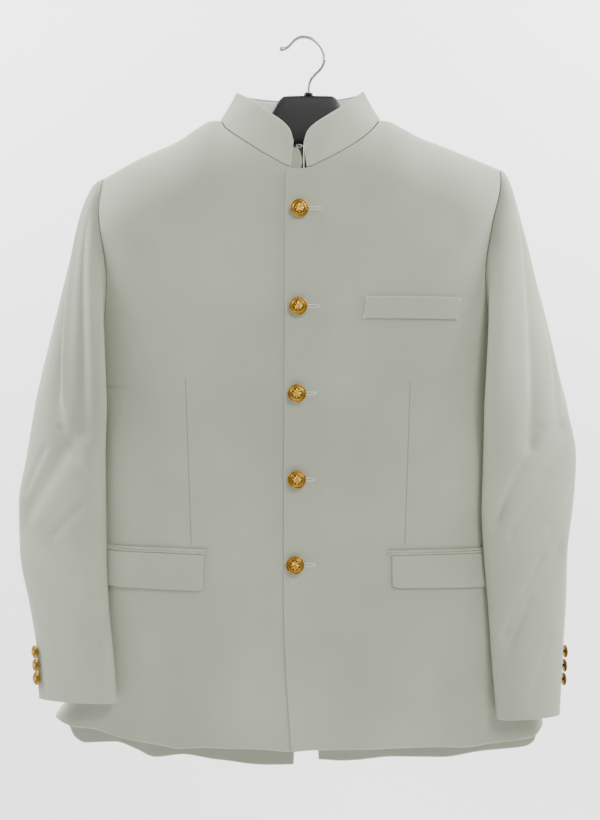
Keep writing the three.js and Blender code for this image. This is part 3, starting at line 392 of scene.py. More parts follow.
class Finish:
    """A new material and short ways to add and join its nodes."""

    def __init__(self, name):
        self.material = bpy.data.materials.new(name)
        self.material.use_nodes = True
        self.tree = self.material.node_tree
        self.shader = self.tree.nodes["Principled BSDF"]

    def add(self, kind, inputs=(), **settings):
        node = self.tree.nodes.new("ShaderNode" + kind)
        for key, value in settings.items():
            setattr(node, key, value)
        for key, value in dict(inputs).items():
            self.put(node.inputs[key], value)
        return node

    def put(self, socket, value):
        if isinstance(value, bpy.types.NodeSocket):
            self.tree.links.new(value, socket)
        elif isinstance(value, bpy.types.Node):
            self.tree.links.new(value.outputs[0], socket)
        else:
            socket.default_value = value

    def set(self, **values):
        for key, value in values.items():
            self.put(self.shader.inputs[key.replace("_", " ")], value)

    def math(self, operation, a, b=0.0, clamp=False):
        return self.add("Math", {0: a, 1: b}, operation=operation, use_clamp=clamp)

    def fade(self, value, start, stop, low=0.0, high=1.0):
        return self.add(
            "MapRange",
            {"Value": value, "From Min": start, "From Max": stop, "To Min": low, "To Max": high},
            interpolation_type="SMOOTHSTEP",
        )

    def noise(self, vector, scale, detail=3.0, rough=0.5):
        return self.add("TexNoise", {"Vector": vector, "Scale": scale, "Detail": detail, "Roughness": rough})

    def stretch(self, vector, x, y, z=1.0):
        return self.add("Mapping", {"Vector": vector, "Scale": (x, y, z)})

    def bump(self, height, strength, distance):
        return self.add("Bump", {"Height": height, "Strength": strength, "Distance": distance})

    def coords(self, kind):
        return self.add("TexCoord").outputs[kind]

    def tones(self, cloud, low, high, start=0.3, stop=0.7):
        return self.blend(self.fade(cloud.outputs[0], start, stop), low, high)

    def blend(self, share, low, high):
        node = self.add("Mix", data_type="RGBA", blend_type="MIX")
        self.put(node.inputs[0], share)
        self.put(node.inputs[6], low)
        self.put(node.inputs[7], high)
        return node.outputs[2]


SAGE = (0.396, 0.418, 0.326, 1)
SAGE_SHADE = (0.338, 0.358, 0.276, 1)
SAGE_LIGHT = (0.450, 0.470, 0.376, 1)
TWILL_SCALE = 420.0
YARN_SCALE = 1500.0


def suiting(name, dart=False):
    """Worsted with a fine twill, slightly uneven yarns, paler along worn edges, and painted shade along the
    groove of a dart's sewn line.
    """
    f = Finish(name)
    uv = f.coords("UV")
    place = f.coords("Object")
    twill = f.add("TexWave", {"Vector": uv, "Scale": TWILL_SCALE, "Distortion": 1.2, "Detail": 1.0},
                  bands_direction="DIAGONAL")
    yarns = f.noise(f.stretch(uv, 1, 0.18), YARN_SCALE, 2, 0.6)
    picks = f.noise(f.stretch(uv, 0.18, 1), YARN_SCALE, 2, 0.6)
    cloud = f.noise(place, 5.5, 3, 0.55)
    slub = f.noise(f.stretch(uv, 1, 0.05), 260, 2, 0.5)
    colour = f.tones(cloud, SAGE_SHADE, SAGE, 0.32)
    colour = f.blend(f.fade(yarns.outputs[0], 0.35, 0.75, 0.0, 0.16), colour, SAGE_LIGHT)
    colour = f.blend(f.fade(slub.outputs[0], 0.4, 0.7, 0.0, 0.10), colour, SAGE_SHADE)
    rim = f.add("Attribute", attribute_name="rim")
    colour = f.blend(f.fade(rim.outputs["Fac"], 0.0, 2.2, 0.14, 0.0), colour, SAGE_LIGHT)
    height = f.math("ADD", f.math("MULTIPLY", twill, 0.5), f.math("MULTIPLY", yarns, 0.6))
    height = f.math("ADD", height, f.math("MULTIPLY", picks, 0.5))
    if dart:
        line = f.math("ABSOLUTE", f.add("Attribute", attribute_name="dart").outputs["Fac"])
        within = f.fade(f.add("Attribute", attribute_name="dart_run").outputs["Fac"], -1.0, 3.0)
        # Painted shade: the dart's sewn line is darkened as the shadow in its groove, and the same mask sinks
        # the groove in the bump.
        dart_groove_shade = f.math("MULTIPLY", f.fade(line, 0.15, 0.95, 1.0, 0.0), within)
        colour = f.blend(f.math("MULTIPLY", dart_groove_shade, 0.62), colour, (0.15, 0.16, 0.125, 1))
        height = f.math("SUBTRACT", height, f.math("MULTIPLY", dart_groove_shade, 3.0))
    bump = f.bump(height, 0.35, 0.00016)
    rough = f.fade(picks.outputs[0], 0.2, 0.8, 0.62, 0.78)
    f.set(Base_Color=colour, Roughness=rough, Normal=bump)
    f.shader.inputs["Sheen Weight"].default_value = 0.30
    f.shader.inputs["Sheen Roughness"].default_value = 0.42
    f.shader.inputs["Sheen Tint"].default_value = (0.93, 0.97, 0.88, 1)
    f.shader.inputs["Specular IOR Level"].default_value = 0.32
    return f.material


FRONT_DARTS = {-1: (-130.7, -392, -126, -577), 1: (116.8, -394.5, 112.3, -578.5)}


def dart_across(side):
    """Signed distance in millimetres from the sewn line of the long front dart."""
    x0, z0, x1, z1 = FRONT_DARTS[side]
    return lambda points: points[..., 0] - x0 - (x1 - x0) * (points[..., 2] - z0) / (z1 - z0)


def dart_run(side):
    """Distance in millimetres inside the ends of that line, negative beyond them."""
    x0, z0, x1, z1 = FRONT_DARTS[side]
    return lambda points: np.minimum(z0 - points[..., 2], points[..., 2] - z1)


panel_cloth = suiting("sage_suiting")
front_cloth = suiting("sage_suiting_front", dart=True)
PANELS = [
    ("front_right", -1, -1, 5 / 14, (120, 210), (0.34, 0.72, 0.185)),
    ("front_left", 1, -1, 5 / 14, (120, 210), (0.34, 0.72, 0.184)),
    ("back_right", -1, 1, 5 / 12, (100, 190), (0.32, 0.76, 0.189)),
    ("back_left", 1, 1, 5 / 12, (100, 190), (0.32, 0.76, 0.181)),
]
for node, side, face, neck, steps, cut in PANELS:
    panel = cloth_wall(
        node + "_cloth",
        lambda u, v, inset: panel_point(side, face, neck, u, v, inset),
        steps,
        (270, PANEL_HEIGHT),
        CLOTH_WALL,
        front_cloth if face < 0 else panel_cloth,
        {"dart": dart_across(side), "dart_run": dart_run(side)} if face < 0 else None,
        rows=panel_rows(steps[1]),
    )
    dress_sheet(node)


# Sleeves. Two-piece tailored sleeves of the same worsted: a wide topsleeve and a narrow undersleeve,
# seamed at the front and the back, eased into the armhole. They hang bent at the elbow, so the cloth
# breaks into slanting creases there and under the cap.
SLEEVE_ROWS = {
    -1: table("z front_x front_y back_x back_y bulge", [
        (-757, -210.8, -32, -303.5, -2, 18),
        (-700, -214.9, -35, -306.5, 3, 20),
        (-650, -219.9, -34, -315.5, 12, 23),
        (-590, -222.6, -34, -327.5, 20, 25),
        (-535, -222.6, -39, -328.5, 23, 26.4),
        (-480, -221.8, -49, -318.5, 27, 26.4),
        (-425, -218.2, -68, -307.5, 28, 26.4),
    ]),
    1: table("z front_x front_y back_x back_y bulge", [
        (-776, 217.7, -30, 292.5, 0, 18),
        (-700, 211.1, -33, 297, 5, 20),
        (-650, 207.4, -35, 300.5, 11, 23),
        (-590, 201.8, -42, 302, 12, 25),
        (-535, 198.3, -49, 308.5, 13, 26.4),
        (-480, 199.2, -56, 312.5, 20, 26.4),
        (-425, 198.7, -71, 301.5, 25, 26.4),
    ]),
}
SLEEVE_INSIDE = 7.5
SLEEVE_SQUARE = 2.2
CAP_PART = 0.42
CAP_GAP = 0.5
CAP_LEAST = 0.12
CAP_OUT = {-1: 0.26, 1: 0.16}
CAP_FORWARD = 0.2
UNDERARM_OUT = 0.75
FRONT_SEAM_TURN = -38
BACK_SEAM_TURN = 168
SLEEVE_SEAM_HALF = 0.12
SLEEVE_LENGTH = 560
BICEPS_STEP = 5
FOLD_FRONT_TURN = 2
FOLD_BACK_TURN = 160
FOLD_FADE_TURN = 25
SLEEVE_FOLDS = {
    -1: table("x0 z0 x1 z1 depth width", [
        (60, -340, 40, -450, 4, 11),
        (110, -345, 75, -470, 3.5, 12),
        (50, -450, 120, -540, 4.5, 13),
        (130, -560, 60, -620, 3, 14),
        (101, -335, 95, -404, 1.6, 8),
        (95, -404, 52, -480, 2.2, 7),
        (77, -345, 62, -402, 1.3, 6),
        (62, -402, 40, -426, 1.5, 6),
        (64, -262, 56, -288, 1.3, 5),
        (80, -449, 34, -514, 2.6, 5),
        (66, -556, 30, -668, -2.2, 12),
        (126, -300, 118, -400, 1.5, 7),
        (100, -470, 128, -520, 1.8, 5),
        (36, -524, 84, -568, 1.8, 5),
        (140, -620, 96, -700, 1.2, 8),
        (40, -690, 66, -742, 1.0, 7),
    ]),
    1: table("x0 z0 x1 z1 depth width", [
        (90, -345, 70, -460, 4, 12),
        (120, -450, 30, -550, 5, 13),
        (125, -590, 45, -680, 4, 14),
        (86, -446, 34, -544, 2.6, 5),
        (94, -597, 36, -680, 2.2, 5.5),
        (82, -345, 74, -470, 2.2, 6),
        (30, -226, 30, -274, -1.2, 6),
        (30, -274, 50, -330, -1.4, 6),
        (122, -340, 112, -430, 1.6, 6),
        (96, -500, 52, -566, 1.6, 5),
        (140, -520, 104, -560, 1.5, 6),
        (78, -640, 42, -704, 1.4, 6),
        (110, -690, 84, -750, 1.0, 7),
    ]),
}


def armhole_point(side, turn):
    """Points of the armhole's edge: turn 0 front, 90 top, 180 back, 270 underarm."""
    angle = np.radians(turn)
    rise = np.arccos(np.clip(-np.sin(angle), -1, 1))
    half = (armhole_top(side, 0) - UNDERARM) / 2
    z = UNDERARM + half * (1 - np.cos(rise))
    part = armhole_part(rise, along(BODY, "z", "square", z))
    front = body_point(side, -1, part, z, 0)
    back = body_point(side, 1, part, z, 0)
    return np.where((np.cos(angle) >= 0)[..., None], front, back)


def sleeve_ring(side, z, turn, inset):
    """Points of the flat oval rings between the front and back creases of a sleeve."""
    rows = SLEEVE_ROWS[side]
    front = np.stack([along(rows, "z", "front_x", z), along(rows, "z", "front_y", z)], -1)
    back = np.stack([along(rows, "z", "back_x", z), along(rows, "z", "back_y", z)], -1)
    reach = np.linalg.norm(front - back, axis=-1, keepdims=True)
    axis = (front - back) / reach
    out = np.stack([side * np.abs(axis[..., 1]), -np.abs(axis[..., 0])], -1)
    c, s = np.cos(np.radians(turn)), np.sin(np.radians(turn))
    size = (np.abs(c) ** SLEEVE_SQUARE + np.abs(s) ** SLEEVE_SQUARE) ** (1 / SLEEVE_SQUARE)
    long = (reach[..., 0] / 2 - inset) * c / size
    bulge = np.where(s > 0, along(rows, "z", "bulge", z), SLEEVE_INSIDE)
    flat = (bulge - inset) * s / size
    plan = (front + back) / 2 + axis * long[..., None] + out * flat[..., None]
    return np.concatenate([plan, np.broadcast_to(z, c.shape)[..., None]], -1)


def sleeve_fold(side, turn, z):
    """Depth of the creases on the outside of a sleeve, with turns in place of x."""
    total = line_folds(SLEEVE_FOLDS[side], turn, z, 1)
    front, back = turn - FOLD_FRONT_TURN, FOLD_BACK_TURN - turn
    return total * ease(front / FOLD_FADE_TURN) * ease(back / FOLD_FADE_TURN)


def sleeve_point(side, turn, down, inset):
    """Points of a sleeve: turn 0 front, 90 outside, 180 back, 270 inside; down 0 armhole to 1 cuff."""
    turn, down = np.broadcast_arrays(np.asarray(turn, float), np.asarray(down, float))
    cuff = SLEEVE_ROWS[side]["z"][0]
    biceps = SLEEVE_ROWS[side]["z"][-1]
    level = np.full(turn.shape, biceps)
    low_z = biceps + (cuff - biceps) * np.clip((down - CAP_PART) / (1 - CAP_PART), 0, 1)
    lower = sleeve_ring(side, low_z, turn, inset + sleeve_fold(side, turn, low_z))
    c, s = np.cos(np.radians(turn)), np.sin(np.radians(turn))
    off = CAP_GAP + inset
    start = armhole_point(side, turn)
    start = start + np.stack([np.full(turn.shape, side * CAP_GAP), c * off, -s * off], -1)
    end = sleeve_ring(side, level, turn, inset + sleeve_fold(side, turn, level))
    reach = np.linalg.norm(start - end, axis=-1, keepdims=True)
    out = CAP_LEAST + CAP_OUT[side] * np.maximum(0, s) + UNDERARM_OUT * np.maximum(0, -s)
    leave = np.stack([side * out, -CAP_FORWARD * c, np.zeros(turn.shape)], -1) * reach
    lower_level = level - BICEPS_STEP
    below = sleeve_ring(side, lower_level, turn, inset + sleeve_fold(side, turn, lower_level)) - end
    arrive = below / np.linalg.norm(below, axis=-1, keepdims=True) * reach
    f = np.clip(down / CAP_PART, 0, 1)[..., None]
    upper = start * (1 + 2 * f) * (1 - f) ** 2 + end * f * f * (3 - 2 * f)
    upper = upper + leave * f * (1 - f) ** 2 + arrive * f * f * (f - 1)
    return np.where((down < CAP_PART)[..., None], upper, lower)


sleeve_cloth = suiting("sage_suiting_sleeve")
SLEEVE_PIECES = [
    ("topsleeve", FRONT_SEAM_TURN, BACK_SEAM_TURN, (84, 200), 190, (0.24, 0.66, 0.116)),
    ("undersleeve", BACK_SEAM_TURN, FRONT_SEAM_TURN + 360, (50, 170), 110, (0.15, 0.50, 0.066)),
]
for kind, start_turn, end_turn, steps, girth_length, cut in SLEEVE_PIECES:
    for side in (-1, 1):
        node = kind + ("_right" if side < 0 else "_left")
        spread = end_turn - start_turn - 2 * SLEEVE_SEAM_HALF
        sleeve = cloth_wall(
            node + "_cloth",
            lambda u, v, inset: sleeve_point(side, start_turn + SLEEVE_SEAM_HALF + spread * u, v, inset),
            steps,
            (girth_length, SLEEVE_LENGTH),
            CLOTH_WALL,
            sleeve_cloth,
        )
        dress_sheet(node)


# Collar. A closed standing band of fused suiting with rounded front ends, sewn to the neck seam.
# A pale satin band lines its inside, and a small cloth tab with a metal hook closes it at the front.
COLLAR_WALL = 2.4
LINING_WALL = 1.0
LINING_GAP = 0.5
COLLAR_ENDS = {
    -1: table("part x y z", [
        (0, -77.7, -2, -62.7),
        (0.35, -55, -27, -79),
        (0.6, -38, -37, -93),
        (0.8, -25.2, -42, -102.5),
        (0.93, -15.8, -46, -113.5),
        (1, -11.8, -50.5, -127),
    ]),
    1: table("part x y z", [
        (0, 68.9, -2, -61.5),
        (0.35, 46, -28, -82),
        (0.6, 27, -38, -95.5),
        (0.8, 13.5, -43, -105),
        (0.93, 3.6, -47.5, -115.5),
        (1, -0.6, -52, -129),
    ]),
}
COLLAR_BACK_Y = 33
COLLAR_BACK_Z = -65
COLLAR_BULGE = -1
COLLAR_RISE = 0.6
COLLAR_FRONT = {-1: -14.8, 1: 3.1}
NECK_STEP = 0.02


def neck_side(side, size):
    """Points of the neck seam: size 0 centre back, 0.5 side of the neck, 1 centre front."""
    neck_x = NECK_LEFT_X if side < 0 else NECK_RIGHT_X
    angle = np.where(size < 0.5, size * 2, (1 - size) * 2) * QUARTER
    middle = np.where(size < 0.5, CENTRE_X, COLLAR_FRONT[side])
    x = middle + (neck_x - middle) * np.sin(angle)
    ridge = along(SHOULDER, "x", "z", x)
    points = {}
    for face, neck in ((1, NECK_BACK), (-1, NECK_FRONT)):
        z = np.minimum(along(neck, "x", "z", x), ridge)
        square = along(BODY, "z", "square", z)
        part = girth_part(side * (x - CENTRE_X) / half_width(side, z, 0), square)
        points[face] = body_point(side, face, part, z, 0)
    return np.where((size < 0.5)[..., None], points[1], points[-1])


def neck_point(turn):
    size = np.abs(turn)
    return np.where((turn < 0)[..., None], neck_side(-1, size), neck_side(1, size))


def collar_top(turn):
    size = np.abs(turn)
    ends = {}
    for side, rows in COLLAR_ENDS.items():
        part = np.clip(size - 0.5, 0, 1) * 2
        front = np.stack([along(rows, "part", column, part) for column in "xyz"], -1)
        angle = np.minimum(size, 0.5) * 2 * QUARTER
        x = CENTRE_X + (rows["x"][0] - CENTRE_X) * np.sin(angle)
        y = rows["y"][0] + (COLLAR_BACK_Y - rows["y"][0]) * np.cos(angle)
        z = rows["z"][0] + (COLLAR_BACK_Z - rows["z"][0]) * np.cos(angle)
        ends[side] = np.where((size >= 0.5)[..., None], front, np.stack([x, y, z], -1))
    return np.where((turn < 0)[..., None], ends[-1], ends[1])


def collar_point(turn, up, inset):
    """Points of the collar band: turn -1 to 1 round the neck, up 0 seam to 1 top, inset inwards."""
    turn, up = np.broadcast_arrays(np.asarray(turn, float), np.asarray(up, float))
    ahead, behind = np.minimum(turn + NECK_STEP, 1), np.maximum(turn - NECK_STEP, -1)
    run = neck_point(ahead) - neck_point(behind)
    run = run * (1, 1, 0)
    run = run / np.linalg.norm(run, axis=-1, keepdims=True)
    inward = np.stack([run[..., 1], -run[..., 0], np.zeros(turn.shape)], -1)
    base = neck_point(turn) + inward * SEAM_GAP + (0, 0, COLLAR_RISE)
    point = base + (collar_top(turn) - base) * up[..., None]
    return point + inward * (inset - COLLAR_BULGE * 4 * up * (1 - up))[..., None]


collar = cloth_wall(
    "collar_cloth",
    lambda u, v, inset: collar_point(2 * u - 1, v, inset),
    steps=(180, 22),
    size=(430, 42),
    wall=COLLAR_WALL,
    finish=suiting("sage_suiting_collar"),
    round_edge=1.2,
)
dress_sheet("collar")

satin_finish = Finish("pale_lining_satin")
satin_uv = satin_finish.coords("UV")
satin_threads = satin_finish.noise(satin_finish.stretch(satin_uv, 0.12, 1), 1800, 2)
satin_cloud = satin_finish.noise(satin_uv, 30, 2)
satin_finish.set(
    Base_Color=satin_finish.tones(satin_cloud, (0.80, 0.81, 0.76, 1), (0.90, 0.91, 0.86, 1)),
    Roughness=satin_finish.fade(satin_threads.outputs[0], 0.2, 0.8, 0.30, 0.44),
    Normal=satin_finish.bump(satin_threads, 0.3, 0.0001),
)
satin_finish.shader.inputs["Anisotropic"].default_value = 0.5
LINING_MARGIN = 3 / 40
LINING_LOW = 0.085
LINING_SHARE = 0.85
RIPPLE_DEPTH = 0.12
RIPPLE_TURNS = 61


def lining_point(u, v, inset):
    turn = -1 + 2 * (LINING_MARGIN + (1 - 2 * LINING_MARGIN) * u)
    ripple = RIPPLE_DEPTH * np.sin(u * RIPPLE_TURNS) * np.sin(v * np.pi)
    return collar_point(turn, LINING_LOW + LINING_SHARE * v, COLLAR_WALL + LINING_GAP + inset + ripple)


lining = cloth_wall(
    "collar_lining_satin",
    lining_point,
    steps=(150, 14),
    size=(360, 36),
    wall=LINING_WALL,
    finish=satin_finish.material,
)
dress_sheet("collar_lining")

TAB_LEFT = -18
TAB_RIGHT = table("z x", [(-166, -4.5), (-157, -3), (-149, -1.8), (-142, -3.4), (-134, -7)])
TAB_PLACE = table("z y", [(-166, -55.8), (-134, -48)])


def tab_point(u, v, inset):
    z = TAB_PLACE["z"][0] + (TAB_PLACE["z"][1] - TAB_PLACE["z"][0]) * v
    x = TAB_LEFT + (along(TAB_RIGHT, "z", "x", z) - TAB_LEFT) * u
    y = along(TAB_PLACE, "z", "y", z) + inset
    return np.stack(np.broadcast_arrays(x, y, z), -1)


tab = cloth_wall(
    "collar_tab_cloth",
    tab_point,
    steps=(10, 22),
    size=(14, 33),
    wall=CLOTH_WALL,
    finish=suiting("sage_suiting_tab"),
)
dress_sheet("collar_tab")


def ring_faces(count, sides):
    """Faces of a bar of so many rings: the wall between them and a cap at each end."""
    number = np.arange(count * sides).reshape(count, sides)
    nxt = np.roll(number, -1, axis=1)
    walls = np.stack([number[:-1], nxt[:-1], nxt[1:], number[1:]], -1).reshape(-1, 4)
    return walls.tolist() + [number[0][::-1].tolist(), number[-1].tolist()]


def tube(name, path, radii, finish, sides):
    """Round bar swept along a path, closed at both ends."""
    path = np.array(path, float)
    run = np.gradient(path, axis=0)
    run = run / np.linalg.norm(run, axis=1, keepdims=True)
    aside = np.cross(run, (0, 1, 0))
    aside = aside / np.linalg.norm(aside, axis=1, keepdims=True)
    upward = np.cross(aside, run)
    turns = np.arange(sides) * 2 * np.pi / sides
    ring = np.cos(turns)[None, :, None] * aside[:, None] + np.sin(turns)[None, :, None] * upward[:, None]
    points = path[:, None] + ring * np.array(radii, float)[:, None, None]
    faces = ring_faces(len(path), sides)
    walls = np.array(faces[:-2])
    length = np.concatenate([[0], np.cumsum(np.linalg.norm(np.diff(path, axis=0), axis=1))])
    u, v = np.meshgrid(turns * np.max(radii), length)
    flat_points = points.reshape(-1, 3)
    a, b, c = (flat_points[walls[:, k]] for k in (0, 1, 2))
    if np.einsum("ij,ij->i", a, np.cross(b, c)).sum() < 0:
        faces = [face[::-1] for face in faces]
    return add_mesh(name, flat_points, faces, np.stack([u, v], -1).reshape(-1, 2), finish)


def drawn_steel(name, dull, bright, smooth, rough):
    """Polished steel wire with fine scratches along it and a faint haze."""
    steel = Finish(name)
    place = steel.coords("Object")
    scratch = steel.noise(steel.stretch(place, 1, 1, 0.1), 900, 4, 0.7)
    haze = steel.noise(place, 60, 2)
    tone = steel.tones(haze, dull, bright)
    steel.set(
        Base_Color=tone,
        Metallic=1.0,
        Roughness=steel.fade(scratch.outputs[0], 0.2, 0.8, smooth, rough),
        Normal=steel.bump(scratch, 0.15, 0.00005),
    )
    return steel, place, tone


EYE_MIDDLE = (-5.1, -48.9, -132.6)
EYE_HALF_WIDTH = 3.0
EYE_HALF_HEIGHT = 1.5
EYE_WIRE_R = 0.55
EYE_OPENING = 0.5
EYE_POINTS = 40
eye_steel = drawn_steel("polished_steel_wire", (0.50, 0.51, 0.53, 1), (0.66, 0.67, 0.68, 1), 0.14, 0.30)[0]
eye_turn = np.linspace(0, 2 * np.pi - EYE_OPENING, EYE_POINTS)
eye_x = EYE_MIDDLE[0] + EYE_HALF_WIDTH * np.cos(eye_turn)
eye_z = EYE_MIDDLE[2] + EYE_HALF_HEIGHT * np.sin(eye_turn)
eye_path = np.stack([eye_x, np.full(EYE_POINTS, EYE_MIDDLE[1]), eye_z], -1)
eye = tube("collar_hook_wire", eye_path, np.full(EYE_POINTS, EYE_WIRE_R), eye_steel.material, 12)
dress("collar_hook")


# Pockets. A slanting breast welt stitched down at both ends, and two lower pockets, each with a
# narrow jet along its mouth and a flap that hangs from it. All are cut from the same worsted.


def on_front(side, x, z, out):
    """Points of a front by x and height, moved out by some millimetres."""
    square = along(BODY, "z", "square", z)
    part = girth_part(side * (x - CENTRE_X) / half_width(side, z, 0), square)
    return body_point(side, -1, part, z, -out)


WELT_LEFT = 63.5
WELT_RIGHT = 168.6
WELT_LEAN = 4
WELT_STAND = 1.5
WELT_LOW = -326.2
WELT_LOW_FALL = 1.2
WELT_HIGH = -301.8
WELT_HIGH_FALL = 0.8
PATCH_WALL = 2.0
POCKET_GAP = 0.5


def welt_point(u, v, inset):
    low = WELT_LOW - WELT_LOW_FALL * u
    high = WELT_HIGH - WELT_HIGH_FALL * u
    x = WELT_LEFT + WELT_LEAN * v + (WELT_RIGHT - WELT_LEFT) * u
    stand = WELT_STAND * v * v * np.sin(np.pi * u)
    return on_front(1, x, low + (high - low) * v, SEAM_GAP + PATCH_WALL - inset + stand)


pocket_cloth = suiting("sage_suiting_pocket")
welt = cloth_wall(
    "chest_welt_cloth",
    welt_point,
    steps=(60, 16),
    size=(107, 24),
    wall=PATCH_WALL,
    finish=pocket_cloth,
)
dress_sheet("chest_welt")

JET_HEIGHT = 5.5
FLAP_STAND = 1.6
FLAP_LENGTH = 130.0
FLAP_HEIGHT = 40
FLAP_CORNER = 4.5
FLAP_START = 0.02
FLAP_SHARE = 0.97
POCKET_END = 0.9
FLAPS = [  # hand, side, inner end, mouth inside and outside, lower edge inside and outside
    ("left", 1, 92, -583.7, -580, -625.8, -627),
    ("right", -1, -106.4, -582.7, -575, -629.3, -621),
]
for hand, side, in_x, high_in, high_out, low_in, low_out in FLAPS:

    def pocket_place(u, z, out):
        square = along(BODY, "z", "square", z)
        first = girth_part(side * (in_x - CENTRE_X) / half_width(side, z, 0), square)
        return body_point(side, -1, first + (POCKET_END - first) * u, z, -out)

    def jet_point(u, v, inset):
        high = high_in + (high_out - high_in) * u
        return pocket_place(u, high - JET_HEIGHT * (1 - v), POCKET_GAP + PATCH_WALL - inset)

    def flap_point(u, v, inset):
        high = high_in + (high_out - high_in) * u - JET_HEIGHT - SEAM_GAP
        turn_in = np.clip(1 - np.minimum(u, 1 - u) * FLAP_LENGTH / FLAP_CORNER, 0, 1)
        low = low_in + (low_out - low_in) * u + FLAP_CORNER * (1 - np.sqrt(1 - turn_in * turn_in))
        z = low + (high - low) * v
        stand = FLAP_STAND * (1 - v) * (1 - u * u)
        return pocket_place(FLAP_START + FLAP_SHARE * u, z, POCKET_GAP + PATCH_WALL - inset + stand)

    node = "pocket_jet_" + hand
    jet_size = (FLAP_LENGTH, JET_HEIGHT)
    jet = cloth_wall(node + "_cloth", jet_point, (80, 6), jet_size, PATCH_WALL, pocket_cloth)
    dress_sheet(node)
    node = "pocket_flap_" + hand
    flap_size = (FLAP_LENGTH, FLAP_HEIGHT)
    flap = cloth_wall(node + "_cloth", flap_point, (90, 24), flap_size, PATCH_WALL, pocket_cloth)
    dress_sheet(node)


# Buttons. Cast and gilt domed buttons sewn on by a shank: five down the front, three on each cuff.
# A rosette stands on the dome inside a ring of beads, and the low parts are darkened by age.
BUTTON_STAND = 0.3
FRONT_BUTTON_R = 10.2
FRONT_BUTTONS = [(-5.2, -204.6), (-6.5, -313.1), (-7.9, -408.9), (-8.1, -504.1), (-10.2, -599.6)]
CUFF_BUTTON_R = 7.5
FACE_TURN_STEP = 3
FACE_START = 0.02
FACE_END = 0.985
BACK_DARK = 0.8
CUFF_BUTTONS = [  # hand, side, turn of the place, turn that the face looks along, heights
    ("left", 1, 172, 172, (-705, -721, -736.5)),
    ("right", -1, 150, 144, (-703.5, -718.5, -733.5)),
]
DOME = table("r h", [
    (0, 0.62), (0.3, 0.605), (0.55, 0.55), (0.72, 0.47), (0.8, 0.425), (0.87, 0.41), (0.94, 0.44), (1, 0.36),
])
BUTTON_BACK = table("r h", [
    (1.0, 0.40), (0.995, 0.32), (0.93, 0.25), (0.6, 0.21), (0.22, 0.20), (0.22, 0.0),
])


def button_face(r, turn):
    """Height and darkness of the face of a button of radius one."""
    height = along(DOME, "r", "h", r)
    petal = 0.5 + 0.5 * np.cos(8 * turn)
    reach = 0.30 + 0.22 * petal ** 0.8
    flower = ease((reach - r) / 0.06) * ease((r - 0.10) / 0.05)
    heart = ease((0.12 - r) / 0.04)
    vein = flower * np.exp(-(((1 - petal) / 0.05) ** 2)) * ease((r - 0.14) / 0.05)
    ring = np.exp(-(((r - 0.66) / 0.028) ** 2))
    beads = np.exp(-(((r - 0.775) / 0.030) ** 2)) * (0.35 + 0.65 * np.cos(18 * turn) ** 2)
    rope = np.exp(-(((r - 0.93) / 0.05) ** 2)) * (0.7 + 0.3 * np.cos(30 * turn + 26 * (r - 0.93)))
    relief = 0.050 * flower + 0.055 * heart - 0.02 * vein + 0.030 * ring + 0.045 * beads + 0.035 * rope
    raised = np.clip(flower + heart + 0.8 * ring + beads + rope, 0, 1)
    return height + relief, 1 - raised


gilt = Finish("antique_gilt")
gilt_place = gilt.coords("Object")
gilt_low = gilt.add("Attribute", attribute_name="low").outputs["Fac"]
gilt_dirt = gilt.noise(gilt_place, 900, 4, 0.6)
gilt_tone = gilt.noise(gilt_place, 220, 2)
gilt_age = gilt.fade(gilt_dirt.outputs[0], 0.2, 0.7, 0.55, 1.0)
gilt_dark = gilt.math("MULTIPLY", gilt_low, gilt_age, clamp=True)
gilt_colour = gilt.tones(gilt_tone, (0.62, 0.33, 0.04, 1), (0.86, 0.52, 0.09, 1))
gilt.set(
    Base_Color=gilt.blend(gilt_dark, gilt_colour, (0.05, 0.025, 0.006, 1)),
    Metallic=1.0,
    Roughness=gilt.fade(gilt_dark, 0.0, 1.0, 0.20, 0.52),
    Normal=gilt.bump(gilt_dirt, 0.12, 0.00006),
)


def add_button(node, base, axis, radius, rings, sides):
    """A domed button with its rim, back and shank, standing on a base point along an axis."""
    aside = np.cross((0, 0, 1), axis)
    aside = aside / np.linalg.norm(aside)
    upward = np.cross(axis, aside)
    turns = np.arange(sides) * 2 * np.pi / sides
    r = np.linspace(FACE_START, FACE_END, rings)
    grid_r, grid_turn = np.meshgrid(r, turns, indexing="ij")
    height, low = button_face(grid_r, grid_turn)
    back_rows = len(BUTTON_BACK["r"])
    rr = np.concatenate([grid_r, np.repeat(BUTTON_BACK["r"][:, None], sides, 1)])
    hh = np.concatenate([height, np.repeat(BUTTON_BACK["h"][:, None], sides, 1)])
    tt = np.concatenate([grid_turn, np.repeat(turns[None], back_rows, 0)])
    dark = np.concatenate([low, np.full((back_rows, sides), BACK_DARK)])
    flat = rr[..., None] * (np.cos(tt)[..., None] * aside + np.sin(tt)[..., None] * upward)
    points = base + radius * (flat + hh[..., None] * axis)
    number = np.arange(rr.size).reshape(rr.shape)
    nxt = np.roll(number, -1, axis=1)
    walls = np.stack([number[:-1], number[1:], nxt[1:], nxt[:-1]], -1).reshape(-1, 4)
    faces = walls.tolist() + [number[0].tolist(), number[-1][::-1].tolist()]
    uv = np.stack([rr * np.cos(tt), rr * np.sin(tt)], -1).reshape(-1, 2) * radius
    marks = {"low": dark.ravel()}
    button = add_mesh(node + "_gilt", points.reshape(-1, 3), faces, uv, gilt.material, marks)
    dress(node)


